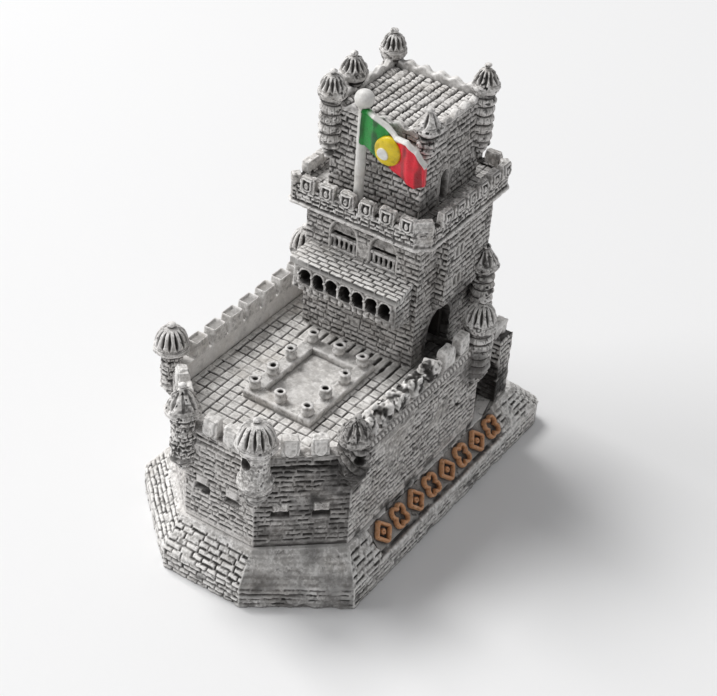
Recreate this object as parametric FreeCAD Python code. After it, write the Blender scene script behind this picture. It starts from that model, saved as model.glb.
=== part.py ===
import FreeCAD, Part
import math
import os

# Free-standing cast miniature of a riverside fort: a sloping skirt, a six-sided bastion with a
# pointed front, an open terrace, and a two-stage tower with a flag. Millimetres, +Z up, the prow
# faces -Y, the tower stands at +Y, and the origin is under the middle of the base.

V = FreeCAD.Vector
os.makedirs("parts", exist_ok=True)

# --- base skirt ---------------------------------------------------------------
RIM_HEIGHT = 6.0
SKIRT_HEIGHT = 12.5
RIM_PLAN = [(-31.3, -31.5), (-10.6, -50.0), (10.6, -50.0), (31.3, -35.0), (31.3, 50.0), (-31.3, 50.0)]
SKIRT_TOP_PLAN = [(-26.1, -28.9), (-9.7, -44.4), (9.7, -44.4), (26.1, -30.2), (26.1, 43.5), (-26.1, 43.5)]
REAR_CORNER_RADIUS = 3.6
REAR_CORNER_STEPS = 5

# --- ornament strip on the +X slope of the skirt -----------------------------
STRIP_Y0 = -23.0
STRIP_Y1 = 31.5
STRIP_LOW = 1.9
STRIP_HIGH = 8.0
STRIP_RECESS = 0.7
STRIP_PANEL = 0.4
MOTIF_COUNT = 8
MOTIF_RELIEF = 1.2
MOTIF_HALF_LENGTH = 2.6
MOTIF_HALF_HEIGHT = 2.6

# --- bastion -------------------------------------------------------------------
WALL_PLAN = [(-25.3, -28.5), (-9.4, -43.5), (9.4, -43.5), (25.3, -29.6), (25.3, 24.0), (-25.3, 24.0)]
WALL_THICKNESS = 3.3
TERRACE_Z = 33.0
DECK_THICKNESS = 1.4
SILL_Z = 38.0
MERLON_TOP_Z = 42.4
MERLON_LENGTH = 3.9
MERLON_DEPTH = 2.7
WINDOW_HALF_WIDTH = 1.5
WINDOW_DEPTH = 1.1

# --- court on the terrace -------------------------------------------------------
COURT_OUTER = (9.2, -23.0, 2.8)
COURT_INNER = (5.9, -19.6, -0.6)
KERB_TOP_Z = 34.9
BOLLARD_RADIUS = 1.35
BOLLARD_TOP_Z = 37.7
BOLLARD_X = 7.3
BOLLARD_YS = [-21.3, -14.1, -6.9, 1.0]

# --- lower tower ---------------------------------------------------------------
KEEP_HALF = 15.4
KEEP_FRONT = 8.7
KEEP_REAR = 37.2
KEEP_TOP_Z = 66.7
KEEP_WALL = 2.0
NICHE_CENTRES = [-5.2, 5.6]
NICHE_HALF_WIDTH = 3.4
NICHE_SILL_Z = 56.9
NICHE_SPRING_Z = 61.6
ARCHWAY_Y = 19.8
ARCHWAY_HALF_WIDTH = 4.6
ARCHWAY_SPRING_Z = 39.4
BAY_DEPTH = 2.6
BAY_Y0 = 16.3
BAY_Y1 = 35.4
BAY_Z0 = 45.5

# --- loggia on the front of the lower tower ------------------------------------
LOGGIA_HALF = 14.0
LOGGIA_FRONT = 2.2
LOGGIA_Z0 = 47.6
LOGGIA_SILL_Z = 49.6
LOGGIA_EAVE_Z = 54.6
ARCH_COUNT = 7
ARCH_PITCH = 3.62
ARCH_CENTRE_X = 0.4
ARCH_HALF_WIDTH = 1.2
ARCH_SPRING_Z = 52.3
ARCADE_DEPTH = 1.7

# --- gallery ---------------------------------------------------------------------
GALLERY_PLAN = [(-18.2, 5.6), (15.0, 5.6), (18.2, 8.8), (18.2, 42.4), (16.8, 43.8), (-18.1, 43.8),
                (-19.5, 42.4), (-19.5, 6.9)]
GALLERY_Z0 = 66.7
GALLERY_FLOOR_Z = 70.8
GALLERY_SILL_Z = 72.1
GALLERY_TOP_Z = 75.0
GALLERY_WALL = 1.6
GALLERY_MERLON = 2.9

# --- upper tower -----------------------------------------------------------------
UPPER_HALF = 12.1
UPPER_FRONT = 11.9
UPPER_REAR = 36.3
UPPER_TOP_Z = 90.6
ROOF_Z = 91.4
ROOF_ROWS = 10
ROOF_KERB_Z = 93.6
DOOR_Y = 22.0
DOOR_HALF_WIDTH = 1.7
DOOR_HEIGHT = 8.6

# --- flag ------------------------------------------------------------------------
POLE_X = -2.3
POLE_Y = 9.3
POLE_RADIUS = 1.15
BALL_RADIUS = 2.2
BALL_Z = 97.4
FLAG_THICKNESS = 1.5
FLAG_TOP = [(-1.6, 95.6), (1.6, 95.4), (4.6, 94.2), (7.4, 92.6), (10.6, 92.9), (13.2, 91.3), (15.4, 88.6)]
FLAG_LOW = [(-1.6, 87.0), (1.6, 86.0), (4.6, 84.9), (7.4, 83.9), (10.6, 82.9), (13.2, 82.2), (15.4, 83.2)]
FLAG_WAVE = [8.7, 7.9, 8.1, 7.3, 7.4, 6.6, 6.9]
BOSS_CENTRE = (6.0, 88.7)
BOSS_RADIUS = 3.3

# Turrets: centre x, centre y, tip z, rim z, top z, rim radius, shaft radius, number of rings.
BASTION_TURRETS = {
    "turret_front_left": (-25.0, -28.6, 29.0, 43.2, 49.6, 3.9, 2.6, 3),
    "turret_nose_left": (-9.7, -43.7, 25.6, 42.6, 49.4, 3.8, 2.8, 4),
    "turret_nose_right": (9.8, -43.7, 28.4, 42.8, 49.8, 4.4, 3.3, 1),
    "turret_front_right": (25.0, -29.2, 29.6, 43.0, 49.0, 3.5, 3.1, 5),
    "turret_rear_right": (24.9, 22.6, 25.2, 43.0, 49.6, 3.7, 3.1, 4),
    "turret_rear_left": (-24.9, 22.6, 25.2, 43.0, 49.6, 3.7, 2.9, 4),
}
UPPER_TURRETS = {
    "upper_turret_front_left": (-12.3, 12.0, 77.8, 94.9, 100.1, 3.05, 2.4, 4),
    "upper_turret_front_right": (12.2, 12.6, 85.4, 94.4, 99.4, 3.0, 2.1, 1),
    "upper_turret_rear_left": (-12.3, 36.2, 77.8, 95.4, 100.5, 2.95, 2.3, 4),
    "upper_turret_rear_right": (12.3, 36.2, 76.4, 94.9, 100.1, 3.1, 2.3, 4),
    "upper_turret_side_left": (-12.6, 20.4, 79.4, 96.0, 101.0, 3.05, 2.2, 3),
}
REAR_BARTIZANS = [(18.3, 33.8, 35.7, 50.8, 56.2, 3.3, 2.7, 3), (-18.3, 33.8, 35.7, 50.8, 56.2, 3.3, 2.7, 3)]
DOME_GROOVES = 6


def box(x0, x1, y0, y1, z0, z1):
    """Rectangular block between two corners."""
    return Part.makeBox(x1 - x0, y1 - y0, z1 - z0, V(x0, y0, z0))


def polygon(points, z):
    """Closed wire through plan points at one height."""
    corners = [V(x, y, z) for x, y in points]
    return Part.makePolygon(corners + corners[:1])


def prism(points, z0, z1):
    """Plan outline pushed up from z0 to z1."""
    return Part.Face(polygon(points, z0)).extrude(V(0, 0, z1 - z0))


def rounded_rear(plan, radius):
    """Plan outline with its last two corners replaced by short arcs of points."""
    points = plan[:4]
    right_x, rear_y = plan[4]
    left_x = plan[5][0]
    for step in range(REAR_CORNER_STEPS + 1):
        angle = math.radians(90 * step / REAR_CORNER_STEPS)
        points.append((right_x - radius + radius * math.cos(angle),
                       rear_y - radius + radius * math.sin(angle)))
    for step in range(REAR_CORNER_STEPS + 1):
        angle = math.radians(90 + 90 * step / REAR_CORNER_STEPS)
        points.append((left_x + radius + radius * math.cos(angle),
                       rear_y - radius + radius * math.sin(angle)))
    return points


def inset(plan, distance):
    """Plan outline moved inwards by one distance on every side."""
    count = len(plan)
    result = []
    for index in range(count):
        before, here, after = plan[index - 1], plan[index], plan[(index + 1) % count]
        first = unit(before, here)
        second = unit(here, after)
        normal_1 = (-first[1], first[0])
        normal_2 = (-second[1], second[0])
        scale = distance / (1 + normal_1[0] * normal_2[0] + normal_1[1] * normal_2[1])
        result.append((here[0] + scale * (normal_1[0] + normal_2[0]),
                       here[1] + scale * (normal_1[1] + normal_2[1])))
    return result


def unit(start, end):
    """Unit direction in plan."""
    length = math.hypot(end[0] - start[0], end[1] - start[1])
    return ((end[0] - start[0]) / length, (end[1] - start[1]) / length)


def arch(half_width, z0, spring, depth):
    """Round-headed block: width on X, pushed along +Y from y = 0."""
    lower = box(-half_width, half_width, 0, depth, z0, spring)
    head = Part.makeCylinder(half_width, depth, V(0, 0, spring), V(0, 1, 0))
    return lower.fuse(head).removeSplitter()


def placed(shape, x, y, z, turn):
    """Copy of a shape turned about Z and then moved."""
    copy = shape.copy()
    copy.Placement = FreeCAD.Placement(V(x, y, z), FreeCAD.Rotation(V(0, 0, 1), turn))
    return copy


def lathe(edges_profile, x, y):
    """Solid of revolution about a vertical axis. The profile runs from the axis back to the axis."""
    points = [V(r, 0, z) for r, z in edges_profile]
    wire = Part.makePolygon(points + points[:1])
    solid = Part.Face(wire).revolve(V(0, 0, 0), V(0, 0, 1), 360)
    solid.translate(V(x, y, 0))
    return solid


def dome_profile(radius, rim_z, top_z):
    """Onion-like dome line from the rim up to the finial neck."""
    height = top_z - rim_z - 1.3
    line = []
    for step in range(8):
        angle = math.radians(84 * step / 7)
        line.append((max(0.42, radius * math.cos(angle)), rim_z + 0.5 + height * math.sin(angle)))
    return line


def turret(x, y, tip_z, rim_z, top_z, rim_radius, shaft_radius, rings):
    """Watch turret: corbelled foot, ringed shaft, flared rim, ribbed dome and finial."""
    foot = tip_z + 4.2
    profile = [(0, tip_z), (0.7, tip_z), (1.0, tip_z + 1.0), (shaft_radius * 0.62, tip_z + 1.6),
               (shaft_radius * 0.7, tip_z + 2.4), (shaft_radius + 0.45, foot - 0.7),
               (shaft_radius + 0.45, foot), (shaft_radius, foot + 0.4)]
    neck = rim_z - 1.3
    for ring in range(rings):
        middle = foot + (neck - foot) * (ring + 1) / (rings + 1)
        profile += [(shaft_radius, middle - 0.55), (shaft_radius + 0.35, middle - 0.2),
                    (shaft_radius + 0.35, middle + 0.2), (shaft_radius, middle + 0.55)]
    profile += [(shaft_radius, neck), (rim_radius, rim_z - 0.4), (rim_radius, rim_z + 0.3),
                (rim_radius * 0.96, rim_z + 0.5)]
    dome_radius = rim_radius * 0.93
    profile += dome_profile(dome_radius, rim_z, top_z)
    neck_z = profile[-1][1]
    profile += [(0.45, neck_z + 0.15), (0.8, neck_z + 0.5), (0.75, top_z - 0.35), (0.3, top_z), (0, top_z)]
    body = lathe(profile, x, y)
    kernel_line = dome_profile(dome_radius * 0.88, rim_z, top_z)
    kernel = lathe([(0, rim_z + 0.5)] + kernel_line + [(0, kernel_line[-1][1])], x, y)
    blades = []
    for index in range(DOME_GROOVES):
        blade = box(-rim_radius, rim_radius, -0.17, 0.17, rim_z + 0.5, neck_z - 0.1)
        blades.append(placed(blade, x, y, 0, 180 * index / DOME_GROOVES + 15))
    grooves = blades[0].multiFuse(blades[1:]).cut(kernel)
    return body.cut(grooves)


def on_line(start, end, distance, inward):
    """Plan point a distance along a wall line, moved inwards from it."""
    direction = unit(start, end)
    return (start[0] + direction[0] * distance - direction[1] * inward,
            start[1] + direction[1] * distance + direction[0] * inward)


def heading(start, end):
    """Angle of a wall line in degrees."""
    return math.degrees(math.atan2(end[1] - start[1], end[0] - start[0]))


def merlon(length, depth, z0, z1):
    """Crenel block with bevelled top edges, its length along X, centred."""
    bevel = 0.55
    a, b = length / 2, depth / 2
    lower = box(-a, a, -b, b, z0, z1 - bevel)
    base = [(-a, -b), (a, -b), (a, b), (-a, b)]
    top = [(x * 0.72, y * 0.68) for x, y in base]
    cap = Part.makeLoft([polygon(base, z1 - bevel), polygon(top, z1)], True, True)
    return lower.fuse(cap).removeSplitter()


def shield(half_width, z0, z1, relief):
    """Round-bottomed plain shield plate standing off a wall on its -Y side."""
    plate = box(-half_width, half_width, -relief, 0.4, z0 + half_width, z1)
    foot = Part.makeCylinder(half_width, relief + 0.4, V(0, -relief, z0 + half_width), V(0, 1, 0))
    boss = Part.makeCylinder(half_width * 0.45, 0.3, V(0, -relief - 0.3, (z0 + z1) / 2), V(0, 1, 0))
    return plate.multiFuse([foot, boss]).removeSplitter()


def merlon_row(start, end, first, last, count, z0, z1, with_shield, length=MERLON_LENGTH):
    """Separate crenel blocks spaced evenly along one wall line."""
    blocks = []
    for index in range(count):
        distance = first + (last - first) * index / max(1, count - 1)
        block = merlon(length, MERLON_DEPTH, z0, z1)
        if with_shield:
            plate = shield(1.15, z0 + 0.3, z1 - 0.7, 0.35)
            plate.translate(V(0, -MERLON_DEPTH / 2, 0))
            block = block.fuse(plate)
        x, y = on_line(start, end, distance, WALL_THICKNESS / 2)
        blocks.append(placed(block, x, y, 0, heading(start, end)))
    return blocks


def export(name, solids):
    """One named node: a single solid, or a group of separate solids."""
    shape = solids[0] if len(solids) == 1 else Part.makeCompound(solids)
    shape.exportStep("parts/" + name + ".step")


def window_cut(start, end, distance, sill_z):
    """Shallow round-headed recess sunk into a wall face."""
    cutter = arch(WINDOW_HALF_WIDTH, sill_z, sill_z + 1.2, WINDOW_DEPTH + 1.0)
    cutter.translate(V(0, -1.0, 0))
    x, y = on_line(start, end, distance, 0)
    return placed(cutter, x, y, 0, heading(start, end))


def slope_placement(y, up_slope, lift):
    """Placement on the +X slope of the skirt: local X runs along +Y, local Y up the slope."""
    low = V(RIM_PLAN[3][0], 0, RIM_HEIGHT)
    high = V(SKIRT_TOP_PLAN[3][0], 0, SKIRT_HEIGHT)
    rise = (high - low).normalize()
    along = V(0, 1, 0)
    outward = along.cross(rise)
    origin = low + rise * up_slope + outward * lift + along * y
    matrix = FreeCAD.Matrix(along.x, rise.x, outward.x, origin.x,
                            along.y, rise.y, outward.y, origin.y,
                            along.z, rise.z, outward.z, origin.z,
                            0, 0, 0, 1)
    return FreeCAD.Placement(matrix)


def lozenge():
    """Open diamond frame with a small boss in its middle."""
    def diamond(scale):
        a = MOTIF_HALF_LENGTH * scale
        b = MOTIF_HALF_HEIGHT * scale
        return Part.Face(polygon([(-a, 0), (0, -b), (a, 0), (0, b)], 0)).extrude(V(0, 0, MOTIF_RELIEF))
    frame = diamond(1.0).cut(diamond(0.58))
    return [frame, Part.makeCylinder(0.55, MOTIF_RELIEF * 0.8)]


def quatrefoil():
    """Four-lobed flower with a hole through its middle."""
    lobes = []
    for index in range(4):
        angle = math.radians(45 + 90 * index)
        centre = V(1.15 * math.cos(angle), 1.2 * math.sin(angle), 0)
        lobes.append(Part.makeCylinder(1.2, MOTIF_RELIEF, centre))
    flower = lobes[0].multiFuse(lobes[1:]).removeSplitter()
    return [flower.cut(Part.makeCylinder(0.75, MOTIF_RELIEF))]


# --- turrets first, so that walls and decks can be cut around them ---------------
bastion_turrets = {name: turret(*values) for name, values in BASTION_TURRETS.items()}
upper_turrets = {name: turret(*values) for name, values in UPPER_TURRETS.items()}
bartizans = [turret(*values) for values in REAR_BARTIZANS]
all_bastion = Part.makeCompound(list(bastion_turrets.values()))
all_upper = Part.makeCompound(list(upper_turrets.values()))

# --- base skirt with its recessed strip --------------------------------------------
rim = rounded_rear(RIM_PLAN, REAR_CORNER_RADIUS)
skirt_top = rounded_rear(SKIRT_TOP_PLAN, REAR_CORNER_RADIUS * 0.8)
foot = prism(rim, 0, RIM_HEIGHT)
slope = Part.makeLoft([polygon(rim, RIM_HEIGHT), polygon(skirt_top, SKIRT_HEIGHT)], True, True)
recess = Part.makeBox(STRIP_Y1 - STRIP_Y0, STRIP_HIGH - STRIP_LOW, STRIP_RECESS + 2.0)
recess.Placement = slope_placement(STRIP_Y0, STRIP_LOW, -STRIP_RECESS)
skirt = foot.fuse(slope).removeSplitter().cut(recess)
export("base_skirt", [skirt])

panel = Part.makeBox(STRIP_Y1 - STRIP_Y0, STRIP_HIGH - STRIP_LOW, STRIP_PANEL)
panel.Placement = slope_placement(STRIP_Y0, STRIP_LOW, -STRIP_RECESS)
export("ornament_panel", [panel])

motifs = []
motif_pitch = (STRIP_Y1 - STRIP_Y0 - 7.0) / (MOTIF_COUNT - 1)
for index in range(MOTIF_COUNT):
    pieces = lozenge() if index % 2 == 0 else quatrefoil()
    middle = (STRIP_LOW + STRIP_HIGH) / 2 + 0.2 - 0.06 * index
    place = slope_placement(STRIP_Y0 + 3.5 + motif_pitch * index, middle, STRIP_PANEL - STRIP_RECESS)
    for piece in pieces:
        piece.Placement = place
        motifs.append(piece)
export("ornament_motifs", motifs)

# --- bastion core, deck and walls -----------------------------------------------------
inner = inset(WALL_PLAN, WALL_THICKNESS)
export("bastion_core", [prism(inner, SKIRT_HEIGHT, TERRACE_Z - DECK_THICKNESS).cut(all_bastion)])
export("terrace_deck", [prism(inner, TERRACE_Z - DECK_THICKNESS, TERRACE_Z).cut(all_bastion)])

WALL_NAMES = ["front_left", "nose", "front_right", "side_right", "rear", "side_left"]
WINDOWS = {"nose": [(4.8, 23.0), (12.9, 23.0)], "front_right": [(5.8, 22.2), (14.8, 22.2)],
           "front_left": [(6.4, 22.2), (15.4, 22.2)], "side_right": [(44.5, 23.6)], "side_left": [(9.1, 23.6)]}
for index, name in enumerate(WALL_NAMES):
    following = (index + 1) % 6
    start, end = WALL_PLAN[index], WALL_PLAN[following]
    ring = [start, end, inner[following], inner[index]]
    wall = prism(ring, SKIRT_HEIGHT, TERRACE_Z).cut(all_bastion)
    for distance, sill in WINDOWS.get(name, []):
        wall = wall.cut(window_cut(start, end, distance, sill))
    if name == "rear":
        wall = wall.cut(box(-KEEP_HALF, KEEP_HALF, 20, 25, 0, 60))
        export("wall_rear", wall.Solids)
        continue
    export("wall_" + name, wall.Solids)
    coping = prism(ring, TERRACE_Z, SILL_Z).cut(all_bastion)
    export("parapet_" + name, coping.Solids)

nose_start, nose_end = WALL_PLAN[1], WALL_PLAN[2]
front_rows = merlon_row(WALL_PLAN[0], WALL_PLAN[1], 8.0, 14.0, 2, SILL_Z, MERLON_TOP_Z, True)
front_rows += merlon_row(nose_start, nose_end, 6.6, 12.2, 2, SILL_Z, MERLON_TOP_Z, True)
front_rows += merlon_row(WALL_PLAN[2], WALL_PLAN[3], 7.6, 14.0, 2, SILL_Z, MERLON_TOP_Z, True)
export("merlons_front", [block.cut(all_bastion) for block in front_rows])
right_rows = merlon_row(WALL_PLAN[3], WALL_PLAN[4], 7.0, 46.0, 7, SILL_Z, MERLON_TOP_Z, False)
export("merlons_side_right", [block.cut(all_bastion) for block in right_rows])
left_rows = merlon_row(WALL_PLAN[5], WALL_PLAN[0], 6.8, 45.4, 7, SILL_Z, MERLON_TOP_Z, False, 4.7)
export("merlons_side_left", [block.cut(all_bastion) for block in left_rows])

# --- court kerbs and bollards --------------------------------------------------------------
half_out, court_y0, court_y1 = COURT_OUTER
half_in, court_in_y0, court_in_y1 = COURT_INNER
sides = [box(-half_out, -half_in, court_y0, court_y1, TERRACE_Z, KERB_TOP_Z),
         box(half_in, half_out, court_y0, court_y1, TERRACE_Z, KERB_TOP_Z)]
ends = [box(-half_in, half_in, court_y0, court_in_y0, TERRACE_Z, KERB_TOP_Z),
        box(-half_in, half_in, court_in_y1, court_y1, TERRACE_Z, KERB_TOP_Z)]
export("court_kerbs", sides + ends)
bollard_spots = [(side * BOLLARD_X, y) for side in (-1, 1) for y in BOLLARD_YS]
bollard_spots += [(0, BOLLARD_YS[0]), (0, BOLLARD_YS[-1])]
bollards = []
for x, y in bollard_spots:
    post = Part.makeCylinder(BOLLARD_RADIUS, BOLLARD_TOP_Z - KERB_TOP_Z, V(x, y, KERB_TOP_Z))
    bollards.append(post.cut(Part.makeCylinder(0.45, 1.2, V(x, y, BOLLARD_TOP_Z - 1.2))))
export("court_bollards", bollards)

# --- lower tower -----------------------------------------------------------------------------
export("keep_foot", [box(-KEEP_HALF, KEEP_HALF, 24.0, KEEP_REAR, SKIRT_HEIGHT, TERRACE_Z)])
core_half = KEEP_HALF - KEEP_WALL
inner_arch = arch(ARCHWAY_HALF_WIDTH - 0.8, TERRACE_Z, ARCHWAY_SPRING_Z, 3.0)
core_archway = placed(inner_arch, core_half, ARCHWAY_Y, 0, 90)
keep_core = box(-core_half, core_half, KEEP_FRONT + KEEP_WALL, KEEP_REAR - KEEP_WALL, TERRACE_Z, KEEP_TOP_Z)
export("keep_core", [keep_core.cut(core_archway)])

front_wall = box(-KEEP_HALF, KEEP_HALF, KEEP_FRONT, KEEP_FRONT + KEEP_WALL, TERRACE_Z, KEEP_TOP_Z)
for centre in NICHE_CENTRES:
    opening = arch(NICHE_HALF_WIDTH, NICHE_SILL_Z, NICHE_SPRING_Z, KEEP_WALL)
    front_wall = front_wall.cut(placed(opening, centre, KEEP_FRONT, 0, 0))
export("keep_wall_front", [front_wall])

side_wall = box(core_half, KEEP_HALF, KEEP_FRONT + KEEP_WALL, KEEP_REAR - KEEP_WALL, TERRACE_Z, KEEP_TOP_Z)
archway = placed(arch(ARCHWAY_HALF_WIDTH, TERRACE_Z, ARCHWAY_SPRING_Z, KEEP_WALL), KEEP_HALF, ARCHWAY_Y, 0, 90)
export("keep_wall_right", [side_wall.cut(archway)])
left_wall = box(-KEEP_HALF, -core_half, KEEP_FRONT + KEEP_WALL, KEEP_REAR - KEEP_WALL, TERRACE_Z, KEEP_TOP_Z)
export("keep_wall_left", [left_wall])
rear_wall = box(-KEEP_HALF, KEEP_HALF, KEEP_REAR - KEEP_WALL, KEEP_REAR, TERRACE_Z, KEEP_TOP_Z)
for centre in (-6.0, 6.0):
    slot = arch(1.5, 52.0, 55.5, 1.2)
    rear_wall = rear_wall.cut(placed(slot, centre, KEEP_REAR, 0, 180))
export("keep_wall_rear", [rear_wall])


def side_bay():
    """Oriel on the +X face: flat block with a sloped foot and two pairs of small windows."""
    outer = KEEP_HALF + BAY_DEPTH
    outline = [V(KEEP_HALF, BAY_Y0, BAY_Z0), V(outer, BAY_Y0, BAY_Z0 + 2.2), V(outer, BAY_Y0, KEEP_TOP_Z),
               V(KEEP_HALF, BAY_Y0, KEEP_TOP_Z)]
    bay = Part.Face(Part.makePolygon(outline + outline[:1])).extrude(V(0, BAY_Y1 - BAY_Y0, 0))
    for height in (51.6, 59.6):
        for y in (20.6, 22.4):
            light = placed(arch(0.62, height, height + 1.9, 0.9), outer, y, 0, 90)
            bay = bay.cut(light)
    return bay


bartizan_group = Part.makeCompound(bartizans)
right_bay = side_bay()
export("side_bay_right", [right_bay.cut(bartizan_group)])
export("side_bay_left", [right_bay.mirror(V(0, 0, 0), V(1, 0, 0)).cut(bartizan_group)])
keep_solid = box(-KEEP_HALF, KEEP_HALF, KEEP_FRONT, KEEP_REAR, SKIRT_HEIGHT, KEEP_TOP_Z)
export("rear_bartizans", [body.cut(keep_solid) for body in bartizans])

piers = []
for side in (-1, 1):
    x0, x1 = sorted((side * 19.6, side * 25.6))
    pier = box(x0, x1, 33.6, 39.2, SKIRT_HEIGHT, 30.8)
    crest = placed(merlon(2.6, 5.4, 30.8, 33.8), (x0 + x1) / 2, 36.4, 0, 90)
    piers.append(pier.fuse(crest).removeSplitter())
export("rear_piers", piers)
links = []
for side in (-1, 1):
    x0, x1 = sorted((side * KEEP_HALF, side * 19.6))
    links.append(box(x0, x1, 24.0, 39.2, SKIRT_HEIGHT, 29.6))
export("rear_link_walls", [link.cut(all_bastion) for link in links])

# --- loggia ------------------------------------------------------------------------------------
floor_outline = [V(-LOGGIA_HALF, KEEP_FRONT, LOGGIA_Z0 - 1.6), V(-LOGGIA_HALF, LOGGIA_FRONT + 0.3, LOGGIA_Z0),
                 V(-LOGGIA_HALF, LOGGIA_FRONT + 0.3, LOGGIA_SILL_Z), V(-LOGGIA_HALF, KEEP_FRONT, LOGGIA_SILL_Z)]
floor_face = Part.Face(Part.makePolygon(floor_outline + floor_outline[:1]))
export("loggia_floor", [floor_face.extrude(V(2 * LOGGIA_HALF, 0, 0))])
arcade = box(-LOGGIA_HALF, LOGGIA_HALF, LOGGIA_FRONT, LOGGIA_FRONT + ARCADE_DEPTH, LOGGIA_SILL_Z, LOGGIA_EAVE_Z)
for index in range(ARCH_COUNT):
    centre = ARCH_CENTRE_X + (index - (ARCH_COUNT - 1) / 2) * ARCH_PITCH
    opening = arch(ARCH_HALF_WIDTH, LOGGIA_SILL_Z, ARCH_SPRING_Z, ARCADE_DEPTH)
    arcade = arcade.cut(placed(opening, centre, LOGGIA_FRONT, 0, 0))
export("loggia_arcade", arcade.Solids)
cheeks = []
for x0, x1 in ((-LOGGIA_HALF, -LOGGIA_HALF + 1.2), (LOGGIA_HALF - 1.2, LOGGIA_HALF)):
    cheeks.append(box(x0, x1, LOGGIA_FRONT + ARCADE_DEPTH, KEEP_FRONT, LOGGIA_SILL_Z, LOGGIA_EAVE_Z))
export("loggia_cheeks", cheeks)
roof_end = -LOGGIA_HALF - 0.6
roof_outline = [V(roof_end, LOGGIA_FRONT - 0.7, LOGGIA_EAVE_Z), V(roof_end, KEEP_FRONT, LOGGIA_EAVE_Z),
                V(roof_end, KEEP_FRONT, NICHE_SILL_Z), V(roof_end, LOGGIA_FRONT - 0.7, LOGGIA_EAVE_Z + 1.0)]
roof_face = Part.Face(Part.makePolygon(roof_outline + roof_outline[:1]))
export("loggia_roof", [roof_face.extrude(V(2 * LOGGIA_HALF + 1.2, 0, 0))])

balustrades = []
for centre in NICHE_CENTRES:
    rails = []
    for z in (NICHE_SILL_Z, NICHE_SILL_Z + 3.2):
        rails.append(box(-NICHE_HALF_WIDTH, NICHE_HALF_WIDTH, 0.3, 1.2, z, z + 0.6))
    posts = []
    for index in range(5):
        x = -NICHE_HALF_WIDTH + 0.7 + index * (2 * NICHE_HALF_WIDTH - 1.4) / 4
        posts.append(box(x - 0.32, x + 0.32, 0.45, 1.05, NICHE_SILL_Z + 0.5, NICHE_SILL_Z + 3.3))
    balustrade = rails[0].multiFuse(rails[1:] + posts).removeSplitter()
    balustrades.append(placed(balustrade, centre, KEEP_FRONT, 0, 0))
export("window_balustrades", balustrades)

# --- gallery -----------------------------------------------------------------------------------
lip = prism(GALLERY_PLAN, GALLERY_Z0, GALLERY_Z0 + 0.8)
slab_plan = inset(GALLERY_PLAN, 0.5)
slab = prism(slab_plan, GALLERY_Z0 + 0.8, GALLERY_FLOOR_Z)
export("gallery_platform", [lip.fuse(slab)])

gallery_inner = inset(slab_plan, GALLERY_WALL)
front = [slab_plan[0], slab_plan[1], gallery_inner[1], gallery_inner[0]]
right = [slab_plan[1], slab_plan[2], slab_plan[3], slab_plan[4], gallery_inner[4], gallery_inner[3],
         gallery_inner[2], gallery_inner[1]]
rear = [slab_plan[4], slab_plan[5], gallery_inner[5], gallery_inner[4]]
left = [slab_plan[5], slab_plan[6], slab_plan[7], slab_plan[0], gallery_inner[0], gallery_inner[7],
        gallery_inner[6], gallery_inner[5]]
export("gallery_parapets_ends", [prism(plan, GALLERY_FLOOR_Z, GALLERY_SILL_Z) for plan in (front, rear)])
export("gallery_parapets_sides", [prism(plan, GALLERY_FLOOR_Z, GALLERY_SILL_Z) for plan in (right, left)])


def gallery_merlon(x, y, turn):
    """Crenel block with a plain shield on its outer face; the outer face looks along local -Y."""
    block = merlon(GALLERY_MERLON, GALLERY_WALL, GALLERY_SILL_Z, GALLERY_TOP_Z)
    plate = shield(0.95, GALLERY_SILL_Z + 0.05, GALLERY_TOP_Z - 0.6, 0.3)
    plate.translate(V(0, -GALLERY_WALL / 2, 0))
    return placed(block.fuse(plate), x, y, 0, turn)


gallery_right = slab_plan[2][0] - GALLERY_WALL / 2
gallery_left = slab_plan[7][0] + GALLERY_WALL / 2
gallery_y0 = slab_plan[0][1] + GALLERY_WALL / 2
gallery_y1 = slab_plan[4][1] - GALLERY_WALL / 2
gallery_merlons = []
for index in range(6):
    x = -13.6 + 5.3 * index
    gallery_merlons.append(gallery_merlon(x, gallery_y0, 0))
    gallery_merlons.append(gallery_merlon(x, gallery_y1, 180))
    y = 14.2 + 5.15 * index
    gallery_merlons.append(gallery_merlon(gallery_right, y, 90))
    gallery_merlons.append(gallery_merlon(gallery_left, y, -90))
export("gallery_merlons", gallery_merlons)

# --- upper tower ---------------------------------------------------------------------------------
upper = box(-UPPER_HALF, UPPER_HALF, UPPER_FRONT, UPPER_REAR, GALLERY_FLOOR_Z, UPPER_TOP_Z)
door = placed(arch(DOOR_HALF_WIDTH, GALLERY_FLOOR_Z, GALLERY_FLOOR_Z + DOOR_HEIGHT - DOOR_HALF_WIDTH, 2.0),
              UPPER_HALF, DOOR_Y, 0, 90)
export("upper_tower_body", [upper.cut(door).cut(all_upper)])

roof = box(-UPPER_HALF, UPPER_HALF, UPPER_FRONT, UPPER_REAR, UPPER_TOP_Z, ROOF_Z)
row_width = (2 * UPPER_HALF - 3.2) / ROOF_ROWS
rows = []
for index in range(ROOF_ROWS):
    x = -UPPER_HALF + 1.6 + index * row_width
    row = box(x + 0.2, x + row_width - 0.2, UPPER_FRONT + 1.6, UPPER_REAR - 1.6, ROOF_Z - 0.1, ROOF_Z + 0.6)
    rows.append(row)
export("roof_deck", [roof.multiFuse(rows).cut(all_upper)])

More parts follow.
